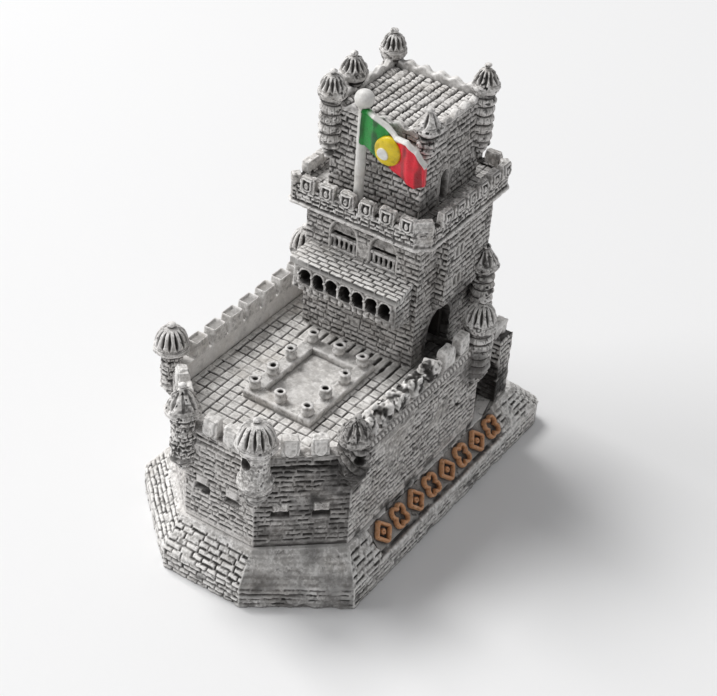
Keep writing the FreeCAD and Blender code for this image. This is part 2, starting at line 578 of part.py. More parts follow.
kerb_plans = [
    (-UPPER_HALF, UPPER_HALF, UPPER_FRONT, UPPER_FRONT + 1.4, ROOF_KERB_Z - 1.0),
    (-UPPER_HALF, UPPER_HALF, UPPER_REAR - 1.4, UPPER_REAR, ROOF_KERB_Z + 0.3),
    (-UPPER_HALF, -UPPER_HALF + 1.4, UPPER_FRONT + 1.4, UPPER_REAR - 1.4, ROOF_KERB_Z),
    (UPPER_HALF - 1.4, UPPER_HALF, UPPER_FRONT + 1.4, UPPER_REAR - 1.4, ROOF_KERB_Z - 1.2),
]
roof_kerbs = []
for x0, x1, y0, y1, top in kerb_plans:
    roof_kerbs += box(x0, x1, y0, y1, ROOF_Z, top).cut(all_upper).Solids
export("roof_kerbs", roof_kerbs)

for name, body in bastion_turrets.items():
    export(name, [body])
for name, body in upper_turrets.items():
    export(name, [body])

# --- flagpole and flag -------------------------------------------------------------------------------
pole = Part.makeCylinder(POLE_RADIUS, BALL_Z - GALLERY_FLOOR_Z, V(POLE_X, POLE_Y, GALLERY_FLOOR_Z))
ball = Part.makeSphere(BALL_RADIUS, V(POLE_X, POLE_Y, BALL_Z))
flagpole = pole.fuse(ball).removeSplitter()
export("flagpole", [flagpole])


def flag_section(index):
    """One upright slice of the flag, from its lower to its upper edge."""
    x = FLAG_TOP[index][0]
    y = FLAG_WAVE[index]
    half = FLAG_THICKNESS / 2
    low = FLAG_LOW[index][1]
    high = FLAG_TOP[index][1]
    corners = [V(x, y - half, low), V(x, y + half, low), V(x, y + half, high), V(x, y - half, high)]
    return Part.makePolygon(corners + corners[:1])


flag = Part.makeLoft([flag_section(index) for index in range(len(FLAG_TOP))], True, True)
boss_cylinder = Part.makeCylinder(BOSS_RADIUS, 3.6, V(BOSS_CENTRE[0], 5.9, BOSS_CENTRE[1]), V(0, 1, 0))
boss = boss_cylinder.cut(flag)
front_boss = min(boss.Solids, key=lambda solid: solid.BoundBox.YMin)
export("flag_boss", [front_boss])
export("flag", [flag.cut(flagpole).cut(all_upper)])
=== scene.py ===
import math

import bpy
import numpy as np
from mathutils import Matrix, Vector


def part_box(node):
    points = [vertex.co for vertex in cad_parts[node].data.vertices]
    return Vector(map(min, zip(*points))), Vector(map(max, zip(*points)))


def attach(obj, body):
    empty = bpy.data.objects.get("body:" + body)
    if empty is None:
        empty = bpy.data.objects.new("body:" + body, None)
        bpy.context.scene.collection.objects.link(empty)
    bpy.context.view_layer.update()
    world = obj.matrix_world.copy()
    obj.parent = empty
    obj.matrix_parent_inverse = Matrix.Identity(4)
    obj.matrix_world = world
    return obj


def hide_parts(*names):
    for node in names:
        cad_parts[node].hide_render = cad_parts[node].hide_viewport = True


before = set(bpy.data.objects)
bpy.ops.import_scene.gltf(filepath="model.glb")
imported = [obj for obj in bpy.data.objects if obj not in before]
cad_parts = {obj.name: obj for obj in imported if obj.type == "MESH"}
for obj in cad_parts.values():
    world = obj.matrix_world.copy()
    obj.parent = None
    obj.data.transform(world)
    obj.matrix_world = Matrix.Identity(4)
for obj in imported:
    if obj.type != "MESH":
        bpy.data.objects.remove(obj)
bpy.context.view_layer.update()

# Sizes below are millimetres; meshes are written in metres. Places come from the CAD nodes' boxes.
MM = 0.001
STEP = 0.21          # spacing of the relief grids
COURSE = 1.40        # height of one course of stone
STONE = 3.25         # length of one stone


# ------------------------------------------------------------------ reading the frame
def span(node):
    """Lowest and highest corner of a CAD node in millimetres."""
    low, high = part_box(node)
    return np.array(low) / MM, np.array(high) / MM


def node_points(node):
    """A CAD node's vertices in millimetres."""
    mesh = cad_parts[node].data
    values = np.empty(len(mesh.vertices) * 3)
    mesh.vertices.foreach_get("co", values)
    return values.reshape(-1, 3) / MM


def outline(nodes, z):
    """Corners, counter-clockwise, of the hull of the nodes' vertices at one height."""
    points = np.vstack([node_points(n) for n in nodes])
    level = points[np.abs(points[:, 2] - z) < 0.05][:, :2]
    level = sorted({(round(float(x), 2), round(float(y), 2)) for x, y in level})

    def half(sequence):
        chain = []
        for p in sequence:
            while len(chain) > 1:
                (ax, ay), (bx, by) = chain[-2], chain[-1]
                if (bx - ax) * (p[1] - ay) - (by - ay) * (p[0] - ax) > 0.02:
                    break
                chain.pop()
            chain.append(p)
        return chain[:-1]

    return half(level) + half(level[::-1])


def inset(plan, distance):
    """A convex outline moved inwards by one distance."""
    plan = np.array(plan, float)
    before = plan - np.roll(plan, 1, axis=0)
    after = np.roll(plan, -1, axis=0) - plan
    before /= np.linalg.norm(before, axis=1)[:, None]
    after /= np.linalg.norm(after, axis=1)[:, None]
    n1 = np.stack([-before[:, 1], before[:, 0]], 1)
    n2 = np.stack([-after[:, 1], after[:, 0]], 1)
    scale = distance / (1 + (n1 * n2).sum(1))
    return plan + scale[:, None] * (n1 + n2)


# ------------------------------------------------------------------ noise
def scatter(a, b, c, seed):
    """Repeatable random value from 0 to 1 for whole-number arrays."""
    h = (np.asarray(a, np.int64) * 374761393 + np.asarray(b, np.int64) * 668265263
         + np.asarray(c, np.int64) * 2246822519 + seed * 3266489917) & 0xFFFFFFFF
    h = ((h ^ (h >> 15)) * 2246822519) & 0xFFFFFFFF
    h = ((h ^ (h >> 13)) * 3266489917) & 0xFFFFFFFF
    return ((h ^ (h >> 16)) & 0xFFFFFF) / float(0xFFFFFF)


def noise(points, size, seed=0):
    """Smooth value noise from -1 to 1."""
    q = np.asarray(points, float) / size
    cell = np.floor(q).astype(np.int64)
    f = q - cell
    f = f * f * (3 - 2 * f)
    total = 0.0
    for corner in range(8):
        d = (corner & 1, (corner >> 1) & 1, (corner >> 2) & 1)
        weight = 1.0
        for axis in range(3):
            weight = weight * (f[..., axis] if d[axis] else 1 - f[..., axis])
        total = total + weight * scatter(cell[..., 0] + d[0], cell[..., 1] + d[1], cell[..., 2] + d[2], seed)
    return total * 2 - 1


def rough(points, seed=0):
    """Cast-resin surface roughness in millimetres."""
    return (0.09 * noise(points, 2.3, seed) + 0.065 * noise(points, 0.9, seed + 1)
            + 0.045 * noise(points, 0.42, seed + 2))


def smooth(low, high, value):
    """Smooth step from 0 at low to 1 at high."""
    t = np.clip((value - low) / (high - low), 0, 1)
    return t * t * (3 - 2 * t)


def lay(h, w, mask, relief=0.0, wash=0.0):
    """Relief and darkness (dark wash and painted shade) with another relief and darkness laid over them where
    the mask is 1.
    """
    return h * (1 - mask) + relief * mask, w * (1 - mask) + wash * mask


def arch_edge(across, z, spring, half):
    """Distance outside a round-headed opening: straight jambs up to its spring line, a circle above."""
    return np.where(z > spring, np.hypot(across, z - spring), across) - half


def on_circle(centre, theta, r, z):
    """Points at given angles, radii and heights about a vertical axis."""
    return np.stack([centre[0] + r * np.cos(theta), centre[1] + r * np.sin(theta), z], -1)


def rectangle(low, high):
    """Counter-clockwise plan corners of a box."""
    return [(low[0], low[1]), (high[0], low[1]), (high[0], high[1]), (low[0], high[1])]


def wash_and_shade_pools():
    """Centre, reach and strength of the dark patches of painted shade, with some pooled dark wash, on the
    shaded right-hand side, from the CAD boxes.
    """
    corner, nose = span("turret_front_right"), span("turret_nose_right")
    keep, side = span("keep_wall_right"), span("turret_rear_right")
    upper, arcade, link = span("upper_tower_body"), span("loggia_arcade"), span("rear_link_walls")
    axis = (corner[0] + corner[1]) / 2
    nose_axis = (nose[0] + nose[1]) / 2
    rear_axis = (side[0] + side[1]) / 2
    return [
        ((axis[0], axis[1], corner[0][2] + 4), 8.5, 0.85),
        ((axis[0] - 3, axis[1] - 4, corner[0][2] + 2), 5.0, 0.70),
        ((nose_axis[0], nose_axis[1], nose[0][2] + 1), 5.0, 0.60),
        ((keep[1][0], keep[0][1] + 8.0, keep[0][2] + 3), 9.5, 0.92),
        ((keep[1][0] - 1, keep[0][1], keep[0][2] + 2), 6.0, 0.60),
        ((keep[1][0] + 2, keep[0][1] + 14.0, keep[0][2] + 12), 7.0, 0.60),
        ((rear_axis[0], rear_axis[1] - 1.5, side[0][2] + 7), 7.0, 0.65),
        ((upper[1][0], upper[0][1] + 3, upper[0][2] + 1), 6.5, 0.65),
        ((arcade[1][0] - 2, arcade[0][1], arcade[0][2]), 4.5, 0.45),
        ((link[1][0] + 3, link[1][1] - 6.0, link[0][2] + 5), 9.0, 0.92),
    ]


WASH_AND_SHADE_POOLS = wash_and_shade_pools()


def pooled_wash_and_shade(points):
    """Extra painted shade and dark wash at points, patchy at the rim of each pool."""
    points = np.asarray(points, float)
    total = np.zeros(len(points))
    mottle = None
    for centre, reach, strength in WASH_AND_SHADE_POOLS:
        distance = np.linalg.norm(points - np.array(centre), axis=1) / reach
        close = distance < 1.5
        if not close.any():
            continue
        if mottle is None:
            mottle = 0.30 * noise(points, 2.4, 201) + 0.22 * noise(points, 0.9, 202)
        total = np.maximum(total, strength * smooth(1.0, 0.45, distance + mottle))
    return total


# ------------------------------------------------------------------ meshes
def make_mesh(name, points, quads, caps=(), wash=None, tint=None, flat_from=None):
    """Mesh object from vertices in millimetres, quads and larger faces, with paint attributes."""
    mesh = bpy.data.meshes.new(name)
    quads = np.asarray(quads, np.int32).reshape(-1, 4)
    sizes = np.concatenate([np.full(len(quads), 4), [len(c) for c in caps]]).astype(np.int32)
    corners = np.concatenate([quads.ravel()] + [np.asarray(c, np.int32) for c in caps]).astype(np.int32)
    mesh.vertices.add(len(points))
    mesh.vertices.foreach_set("co", (np.asarray(points) * MM).astype(np.float32).ravel())
    mesh.loops.add(len(corners))
    mesh.loops.foreach_set("vertex_index", corners)
    mesh.polygons.add(len(sizes))
    mesh.polygons.foreach_set("loop_start", np.concatenate([[0], np.cumsum(sizes)[:-1]]).astype(np.int32))
    shaded = np.ones(len(sizes), bool)
    shaded[len(quads):] = False
    if flat_from is not None:
        shaded[flat_from:] = False
    mesh.polygons.foreach_set("use_smooth", shaded)
    values = np.zeros(len(points)) if wash is None else np.asarray(wash, float).ravel()
    if len(values) < len(points):
        values = np.concatenate([values, np.full(len(points) - len(values), 0.4)])
    if tint is None:
        # painted shade, with some dark wash, in the patches on the shaded right-hand side
        values = np.maximum(values, pooled_wash_and_shade(points))
    # this attribute darkens the colour: dark wash in joints and hollows, and painted shade in openings, corners
    # and under ledges
    mesh.attributes.new("wash", "FLOAT", "POINT").data.foreach_set("value", values.astype(np.float32))
    if tint is not None:
        colours = np.ones((len(points), 4), np.float32)
        colours[:, :3] = tint
        mesh.attributes.new("paint", "FLOAT_COLOR", "POINT").data.foreach_set("color", colours.ravel())
    mesh.update()
    mesh.validate()
    piece = bpy.data.objects.new(name, mesh)
    bpy.context.scene.collection.objects.link(piece)
    return piece


def grid_quads(rows, columns, closed=False):
    """Quads of a grid of vertices, wrapping round its columns when closed."""
    last = columns if closed else columns - 1
    j, i = np.meshgrid(np.arange(rows - 1), np.arange(last), indexing="ij")
    nxt = (i + 1) % columns
    low, high = j * columns, (j + 1) * columns
    return np.stack([low + i, low + nxt, high + nxt, high + i], -1).reshape(-1, 4)


def place(piece, slot, material, *nodes):
    """Gives a finished piece its body and finish and hides the CAD nodes it stands for."""
    piece.data.materials.append(material)
    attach(piece, "root")
    if nodes:
        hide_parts(*nodes)
    return piece


def first_only(number, node_name):
    """A CAD node's name for the first of the pieces that stand for it together, nothing for the others."""
    return [node_name] if number == 0 else []


def loop_grid(levels, step):
    """Grid over the faces between stacked outlines.

    Returns positions, displacement directions, distance along each face, height up the profile,
    the face number of each column and the columns that start each face.
    """
    plans = [np.array(plan, float) for plan, _ in levels]
    heights = [z for _, z in levels]
    count = len(plans[0])
    flat = [np.column_stack([plan, np.full(count, z)]) for plan, z in zip(plans, heights)]
    normals = np.zeros((len(levels) - 1, count, 3))
    for level in range(len(levels) - 1):
        for face in range(count):
            a, b = flat[level][face], flat[level][(face + 1) % count]
            up = flat[level + 1][face] + flat[level + 1][(face + 1) % count] - a - b
            n = np.cross(b - a, up)
            normals[level, face] = n / np.linalg.norm(n)
    fractions, owners = [], []
    for face in range(count):
        width = max(np.linalg.norm(p[(face + 1) % count] - p[face]) for p in plans)
        steps = max(2, int(math.ceil(width / step)))
        fractions += list(np.arange(steps) / steps)
        owners += [face] * steps
    fractions, owners = np.array(fractions), np.array(owners)
    starts = [int(np.argmax(owners == face)) for face in range(count)]
    rows, row_levels = [], []
    for level in range(len(levels) - 1):
        rise = np.linalg.norm(np.mean(flat[level + 1] - flat[level], axis=0))
        slant = max(np.linalg.norm(flat[level + 1] - flat[level], axis=1).min(), rise)
        steps = max(1, int(math.ceil(slant / step)))
        last = level == len(levels) - 2
        for k in range(steps + (1 if last else 0)):
            rows.append((level, k / steps))
            row_levels.append((level - 1, level) if k == 0 and level > 0 else (level,))
    grid = np.zeros((len(rows), len(owners), 3))
    direction = np.zeros_like(grid)
    along = np.zeros(grid.shape[:2])
    up_profile = np.zeros(grid.shape[:2])
    climbed = 0.0
    previous = None
    for j, (level, f) in enumerate(rows):
        ring = flat[level] * (1 - f) + flat[level + 1] * f
        a = ring[owners]
        b = ring[(owners + 1) % count]
        grid[j] = a * (1 - fractions[:, None]) + b * fractions[:, None]
        if previous is not None:
            climbed = climbed + np.linalg.norm(grid[j] - previous, axis=1).min()
        previous = grid[j].copy()
        up_profile[j] = climbed
        base = flat[0][owners]
        run = flat[0][(owners + 1) % count] - base
        run /= np.linalg.norm(run, axis=1)[:, None]
        along[j] = ((grid[j] - base) * run).sum(1)
        total = sum(normals[l][owners] for l in row_levels[j])
        first = normals[row_levels[j][0]][owners]
        for face, start in enumerate(starts):
            total[start] = sum(normals[l][face] + normals[l][face - 1] for l in row_levels[j])
        unit = total / np.linalg.norm(total, axis=1)[:, None]
        direction[j] = unit / np.maximum(0.45, (unit * first).sum(1))[:, None]
    return grid, direction, along, up_profile, owners, starts


def surfaced(levels, surface, step):
    """Loop grid with its relief worked out face by face; the arrises stay on the outline."""
    grid, direction, along, up_profile, owners, starts = loop_grid(levels, step)
    relief = np.zeros(along.shape)
    wash = np.zeros(along.shape)
    for face in range(len(starts)):
        columns = np.nonzero(owners == face)[0]
        nxt = (columns[-1] + 1) % len(owners)
        width = np.linalg.norm(grid[0, nxt] - grid[0, columns[0]])
        s, t, p = along[:, columns], up_profile[:, columns], grid[:, columns]
        h, w = surface(face, s, t, p, width)
        from_edge = np.minimum(s - s.min(axis=1, keepdims=True), s.max(axis=1, keepdims=True) + step - s)
        keep = smooth(0.0, 0.4, from_edge)
        relief[:, columns] = h * keep + rough(p, face + 5) * (1 - keep)
        wash[:, columns] = w * (0.25 + 0.75 * keep)
    return grid, direction, relief, wash, owners, starts


def tube(name, levels, surface, step=STEP):
    """Closed ring of faces with flat ends."""
    grid, direction, relief, wash, _, _ = surfaced(levels, surface, step)
    points = grid + direction * relief[..., None]
    rows, columns = relief.shape
    bottom = np.arange(columns)[::-1]
    top = (rows - 1) * columns + np.arange(columns)
    return make_mesh(name, points.reshape(-1, 3), grid_quads(rows, columns, True), [bottom, top], wash)


def slab_of(name, points, back, wash):
    """Closed piece from a front grid and a matching back plane."""
    rows, columns = points.shape[:2]
    ring = [(0, i) for i in range(columns)] + [(j, columns - 1) for j in range(1, rows)]
    ring += [(rows - 1, i) for i in range(columns - 2, -1, -1)] + [(j, 0) for j in range(rows - 2, 0, -1)]
    ring = np.array(ring)
    front_ids = ring[:, 0] * columns + ring[:, 1]
    behind = back[ring[:, 0], ring[:, 1]]
    back_ids = rows * columns + np.arange(len(ring))
    nxt = np.roll(np.arange(len(ring)), -1)
    sides = np.stack([front_ids[nxt], front_ids, back_ids, back_ids[nxt]], -1)
    quads = np.vstack([grid_quads(rows, columns), sides])
    verts = np.vstack([points.reshape(-1, 3), behind])
    return make_mesh(name, verts, quads, [back_ids[::-1]], wash, flat_from=(rows - 1) * (columns - 1))


def flat_slab(name, grid, relief, back_z, wash):
    """Closed piece from a level grid raised by its relief, with a flat underside."""
    points, back = grid.copy(), grid.copy()
    points[..., 2] += relief
    back[..., 2] = back_z
    return slab_of(name, points, back, wash)


def face_columns(face, starts, total):
    """Columns of one face of a loop grid, up to the first column of the next face."""
    last = starts[face + 1] if face + 1 < len(starts) else total
    return np.arange(starts[face], last + 1) % total


def wrapped(name, ring, columns):
    """Closed piece from some columns of a ring that is folded over a wall's top."""
    grid, direction, relief, wash = ring
    points = grid[:, columns] + direction[:, columns] * relief[:, columns][..., None]
    rows, count = points.shape[:2]
    ids = np.arange(rows * count).reshape(rows, count)
    caps = [ids[:, 0], ids[::-1, -1], np.concatenate([ids[0, ::-1], ids[-1]])]
    return make_mesh(name, points.reshape(-1, 3), grid_quads(rows, count), caps, wash[:, columns])


def facets(names, levels, surface, depth, step=STEP):
    """One closed piece for each named face of a ring, meeting its neighbours on the mitre."""
    grid, direction, relief, wash, _, starts = surfaced(levels, surface, step)
    pieces = []
    for face, name in enumerate(names):
        if name is None:
            continue
        columns = face_columns(face, starts, grid.shape[1])
        g, d = grid[:, columns], direction[:, columns]
        points = g + d * relief[:, columns][..., None]
        pieces.append(slab_of(name, points, g - d * depth, wash[:, columns]))
    return pieces


# ------------------------------------------------------------------ stone patterns
def coursed(s, t, p, seed, upright=0.35, course=COURSE, stone=STONE, depth=0.42, worn=0.25, grit=1.0):
    """Relief and wash of coursed stone: a slot under each stone and fainter upright joints."""
    tt = (t + 0.16 * noise(p, 5.0, seed) + 0.05 * noise(p, 1.6, seed + 5)) / course
    line = np.round(tt)
    row = np.floor(tt)
    ragged = 0.09 * noise(p, 0.75, seed + 3) + 0.05 * noise(p, 0.35, seed + 6)

    def across(r):
        shift = 0.5 * (r % 2) + 0.4 * scatter(r, 0, 0, seed)
        u = s / stone + shift + 0.14 * np.sin(2.1 * s / stone + 2.7 * r)
        column = np.floor(u)
        return column, np.minimum(u - column, 1 - (u - column)) * stone

    line_column, line_edge = across(line)
    column, edge = across(row)
    fade = smooth(-0.80, -0.05, noise(p, 7.0, seed + 9) + worn + 0.35 * noise(p, 2.4, seed + 8))
    luck = scatter(line, line_column, 1, seed)
    bed = smooth(0.10, 0.45, line_edge + ragged) * (0.45 + 0.75 * luck) * (luck > 0.07) * fade
    from_line = np.abs(tt - line) * course + ragged
    bed = np.minimum(bed, 1.1) * (1 - smooth(0.07 + 0.09 * luck, 0.30 + 0.14 * luck, from_line))
    head = (upright + 0.6 * upright * (scatter(row, column, 2, seed) - 0.3)) * fade
    head = head * (1 - smooth(0.06, 0.28, edge + ragged))
    joint = np.clip(np.maximum(bed, head), 0, 1)
    middle = 1 - np.abs(2 * (tt - row) - 1)
    tilt = (scatter(row, column, 3, seed) - 0.5) * 0.20 + 0.08 * middle
    chips = smooth(0.45, 0.8, noise(p, 1.1, seed + 11)) * grit
    relief = -depth * joint + tilt * (1 - joint) - 0.16 * chips + rough(p, seed) * (0.7 + 0.6 * grit)
    return relief, np.maximum(smooth(0.12, 0.72, joint), 0.35 * chips)


def loophole(h, w, s, t, centre, sill, width=4.1, opening=2.1, panel=2.3, strength=1.0):
    """Small window: a smooth lintel block over a flat arch darkened with dark wash and painted shade."""
    x = np.abs(s - centre)
    head, top = sill + opening, sill + opening + panel
    lintel = smooth(0.10, -0.10, x - 0.42 * width) * smooth(head - 0.7, head - 0.4, t)
    lintel = lintel * smooth(top + 0.1, top - 0.15, t)
    border = lintel * (1 - smooth(0.0, 0.35, np.minimum(0.42 * width - x, top - t)))
    h = h * (1 - lintel) + (0.20 - 0.25 * border) * lintel
    w = w * (1 - lintel) + 0.45 * border * strength
    arch = opening * (0.62 + 0.38 * np.sqrt(np.clip(1 - (x / (0.5 * width)) ** 2, 0, 1)))
    hole = smooth(0.08, -0.08, x - 0.5 * width) * smooth(0.10, -0.10, t - sill - arch)
    hole = hole * smooth(-0.1, 0.1, t - sill)
    # dark wash and painted shade inside the opening
    return h * (1 - hole) - 1.15 * hole, np.maximum(w * (1 - hole), hole * (0.60 + 0.40 * strength))


# ------------------------------------------------------------------ materials
def node(tree, kind, **settings):
    """Adds a shader node and sets its properties."""
    made = tree.nodes.new(kind)
    for key, value in settings.items():
        setattr(made, key, value)
    return made


def ramp(tree, value, low, high, to_low=0.0, to_high=1.0):
    """Clamped linear remap of a value."""
    made = node(tree, "ShaderNodeMapRange", clamp=True)
    made.inputs["From Min"].default_value = low
    made.inputs["From Max"].default_value = high
    made.inputs["To Min"].default_value = to_low
    made.inputs["To Max"].default_value = to_high
    tree.links.new(value, made.inputs["Value"])
    return made.outputs["Result"]


def combine(tree, operation, a, b):
    """Clamped arithmetic on two values; b may be a number."""
    made = node(tree, "ShaderNodeMath", operation=operation, use_clamp=True)
    tree.links.new(a, made.inputs[0])
    if isinstance(b, (int, float)):
        made.inputs[1].default_value = b
    else:
        tree.links.new(b, made.inputs[1])
    return made.outputs[0]


def blend(tree, factor, a, b):
    """Colour mix; a and b are colours or sockets."""
    made = node(tree, "ShaderNodeMix", data_type="RGBA")
    tree.links.new(factor, made.inputs[0])
    for socket, value in ((6, a), (7, b)):
        if isinstance(value, tuple):
            made.inputs[socket].default_value = (*value, 1.0)
        else:
            tree.links.new(value, made.inputs[socket])
    return made.outputs[2]


def texture(tree, coordinate, scale, detail=3.0, roughness=0.55):
    """Three-dimensional noise in object space; scale is in features per metre."""
    made = node(tree, "ShaderNodeTexNoise")
    made.inputs["Scale"].default_value = scale
    made.inputs["Detail"].default_value = detail
    made.inputs["Roughness"].default_value = roughness
    tree.links.new(coordinate, made.inputs["Vector"])
    return made.outputs["Fac"]


def new_material(name):
    """Empty node material with a Principled shader and object coordinates."""
    material = bpy.data.materials.new(name)
    material.use_nodes = True
    tree = material.node_tree
    tree.nodes.clear()
    output = node(tree, "ShaderNodeOutputMaterial")
    shader = node(tree, "ShaderNodeBsdfPrincipled")
    tree.links.new(shader.outputs[0], output.inputs[0])
    coordinate = node(tree, "ShaderNodeTexCoord").outputs["Object"]
    return material, tree, shader, coordinate


def crevices(tree, distance):
    """Ambient occlusion, 1 in the open and 0 in a deep corner; distance in metres."""
    made = node(tree, "ShaderNodeAmbientOcclusion", samples=6)
    made.inputs["Distance"].default_value = distance
    return made.outputs["AO"]


def uneven(tree, shader, heights, strength, distance):
    """Fine bumps on a shader; distance in metres."""
    lumps = node(tree, "ShaderNodeBump")
    lumps.inputs["Strength"].default_value = strength
    lumps.inputs["Distance"].default_value = distance
    tree.links.new(heights, lumps.inputs["Height"])
    tree.links.new(lumps.outputs[0], shader.inputs["Normal"])


def resin(name, body, brushed, grime_and_shade=1.0, speckle=0.5, roughness=0.55, gather=(0.62, 0.12, 0.85)):
    """Cast resin with a dark wash left in the hollows, painted shade in corners and creases from ambient
    occlusion, and a pale dry-brushed top.

    gather: occlusion where the painted corner shade starts and is full, and how strong it gets.
    """
    material, tree, shader, coordinate = new_material(name)
    wash = node(tree, "ShaderNodeAttribute", attribute_name="wash").outputs["Fac"]
    point = node(tree, "ShaderNodeNewGeometry").outputs["Pointiness"]
    hollow = crevices(tree, 0.0035)
    patches = texture(tree, coordinate, 260.0, 5.0, 0.6)
    grain = texture(tree, coordinate, 2600.0, 4.0, 0.65)
    fine = texture(tree, coordinate, 7000.0, 2.0, 0.6)
    stains = texture(tree, coordinate, 120.0, 3.0, 0.5)
    chalk = texture(tree, coordinate, 900.0, 5.0, 0.7)
    soot = texture(tree, coordinate, 430.0, 6.0, 0.68)
    raised = ramp(tree, point, 0.495, 0.54, 0.0, 0.75)
    raised = combine(tree, "ADD", raised, ramp(tree, patches, 0.44, 0.66, 0.0, 0.55))
    raised = combine(tree, "ADD", raised, ramp(tree, chalk, 0.49, 0.60, 0.0, 0.62))
    colour = blend(tree, raised, body, brushed)
    tan = tuple(c * k for c, k in zip(body, (0.98, 0.90, 0.80)))
    colour = blend(tree, ramp(tree, stains, 0.52, 0.75, 0.0, 0.3), colour, tan)
    dirt_and_shade = combine(tree, "MAXIMUM", wash, ramp(tree, point, 0.492, 0.455, 0.0, 0.75))
    # painted shade: ambient occlusion darkens the colour in corners and creases
    dirt_and_shade = combine(tree, "MAXIMUM", dirt_and_shade, ramp(tree, hollow, gather[0], gather[1], 0.0, gather[2]))
    dirt_and_shade = combine(tree, "MULTIPLY", dirt_and_shade, ramp(tree, patches, 0.30, 0.55, 0.72 * grime_and_shade, grime_and_shade))
    for more in (ramp(tree, wash, 0.93, 1.0, 0.0, 0.97), ramp(tree, grain, 0.60, 0.74, 0.0, speckle),
                 ramp(tree, soot, 0.555, 0.645, 0.0, 0.92 * speckle)):
        dirt_and_shade = combine(tree, "MAXIMUM", dirt_and_shade, more)
    colour = blend(tree, dirt_and_shade, colour, (0.020, 0.017, 0.015))
    tree.links.new(colour, shader.inputs["Base Color"])
    tree.links.new(ramp(tree, grain, 0.3, 0.7, roughness - 0.10, roughness + 0.12), shader.inputs["Roughness"])
    shader.inputs["Specular IOR Level"].default_value = 0.42
    uneven(tree, shader, combine(tree, "ADD", grain, fine), 0.5, 0.00012)
    return material


def enamel(name, tinted=None, worn=False):
    """Thick hand-brushed gloss paint; the colour comes from the paint attribute or is one tone."""
    material, tree, shader, coordinate = new_material(name)
    streaks = texture(tree, coordinate, 700.0, 4.0, 0.6)
    grain = texture(tree, coordinate, 4200.0, 3.0, 0.6)
    hollow = crevices(tree, 0.0015)
    if tinted is None:
        colour = node(tree, "ShaderNodeAttribute", attribute_name="paint").outputs["Color"]
    else:
        lighter = tuple(min(1.0, c * 1.35) for c in tinted)
        colour = blend(tree, ramp(tree, streaks, 0.35, 0.65), tinted, lighter)
    shade = blend(tree, ramp(tree, streaks, 0.45, 0.72, 0.0, 0.22), colour, (0.02, 0.015, 0.01))
    if worn:
        rubbed = texture(tree, coordinate, 1500.0, 5.0, 0.7)
        shade = blend(tree, ramp(tree, rubbed, 0.55, 0.68, 0.0, 0.75), shade, (0.72, 0.56, 0.42))
        shade = blend(tree, ramp(tree, rubbed, 0.44, 0.34, 0.0, 0.80), shade, (0.06, 0.035, 0.02))
    # painted shade: ambient occlusion darkens the paint in creases and corners
    shade = blend(tree, ramp(tree, hollow, 0.55, 0.10, 0.0, 0.8), shade, (0.03, 0.02, 0.015))
    tree.links.new(shade, shader.inputs["Base Color"])
    tree.links.new(ramp(tree, grain, 0.3, 0.7, 0.24, 0.42), shader.inputs["Roughness"])
    shader.inputs["Specular IOR Level"].default_value = 0.55
    uneven(tree, shader, combine(tree, "ADD", streaks, grain), 0.35, 0.00015)
    return material


def paint_node(name, material):
    """Gives a CAD node that stays as it is one of the materials."""
    for material_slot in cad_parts[name].material_slots:
        material_slot.material = material


WALL = resin("washed_wall", (0.295, 0.279, 0.265), (0.790, 0.765, 0.743), grime_and_shade=1.12, speckle=0.85)
SKIRT = resin("washed_skirt", (0.450, 0.432, 0.414), (0.930, 0.910, 0.890), speckle=0.65)
PALE = resin("washed_pale", (0.590, 0.570, 0.548), (0.920, 0.900, 0.878), speckle=0.40)
COURT = resin("washed_court", (0.470, 0.455, 0.438), (0.800, 0.783, 0.765), speckle=0.55)
TOWER = resin("washed_tower", (0.245, 0.232, 0.220), (0.720, 0.698, 0.678), speckle=0.90)
CROWN = resin("washed_crown", (0.390, 0.373, 0.357), (0.900, 0.878, 0.857), grime_and_shade=1.14, speckle=0.90)
BOUNCE_PALE = resin("washed_plaster", (0.780, 0.760, 0.735), (0.930, 0.912, 0.890), grime_and_shade=0.7, speckle=0.20)
ROOF = resin("washed_roof", (0.430, 0.412, 0.394), (0.880, 0.855, 0.832), speckle=0.75)
DARKEST_RESIN = resin("darkest_resin", (0.110, 0.101, 0.094), (0.560, 0.542, 0.524), speckle=1.0)
POLE = resin("bare_pole", (0.640, 0.626, 0.600), (0.800, 0.788, 0.765), grime_and_shade=0.5, speckle=0.12,
             roughness=0.42)
FLAG = enamel("flag_paint")
COPPER = enamel("copper_paint", (0.62, 0.310, 0.150), True)
STRIP = resin("strip_wash", (0.150, 0.138, 0.125), (0.520, 0.505, 0.485), speckle=1.0,
              gather=(0.97, 0.72, 0.97))
# near-black resin standing for shade, given to the keep's core
GLOOM = resin("deep_wash", (0.030, 0.026, 0.023), (0.060, 0.055, 0.050), speckle=0.9)

# ------------------------------------------------------------------ base skirt
skirt_levels = sorted({round(float(z), 2) for z in node_points("base_skirt")[:, 2]})
rim_z = skirt_levels[1]          # top of the upright foot, where the slope starts
skirt_top = float(span("base_skirt")[1][2])
foot_plan = outline(["base_skirt"], 0.0)
top_plan = outline(["base_skirt"], skirt_top)
panel_low, panel_high = span("ornament_panel")
strip = (panel_low[1], panel_high[1], panel_low[2], panel_high[2])


def matched(plan, reference):
    """The plan's corners in the reference's order, nearest first corner first."""
    plan = np.array(plan)
    first = int(np.argmin(np.linalg.norm(plan - np.array(reference[0]), axis=1)))
    return np.roll(plan, -first, axis=0)


top_plan = matched(top_plan, foot_plan)


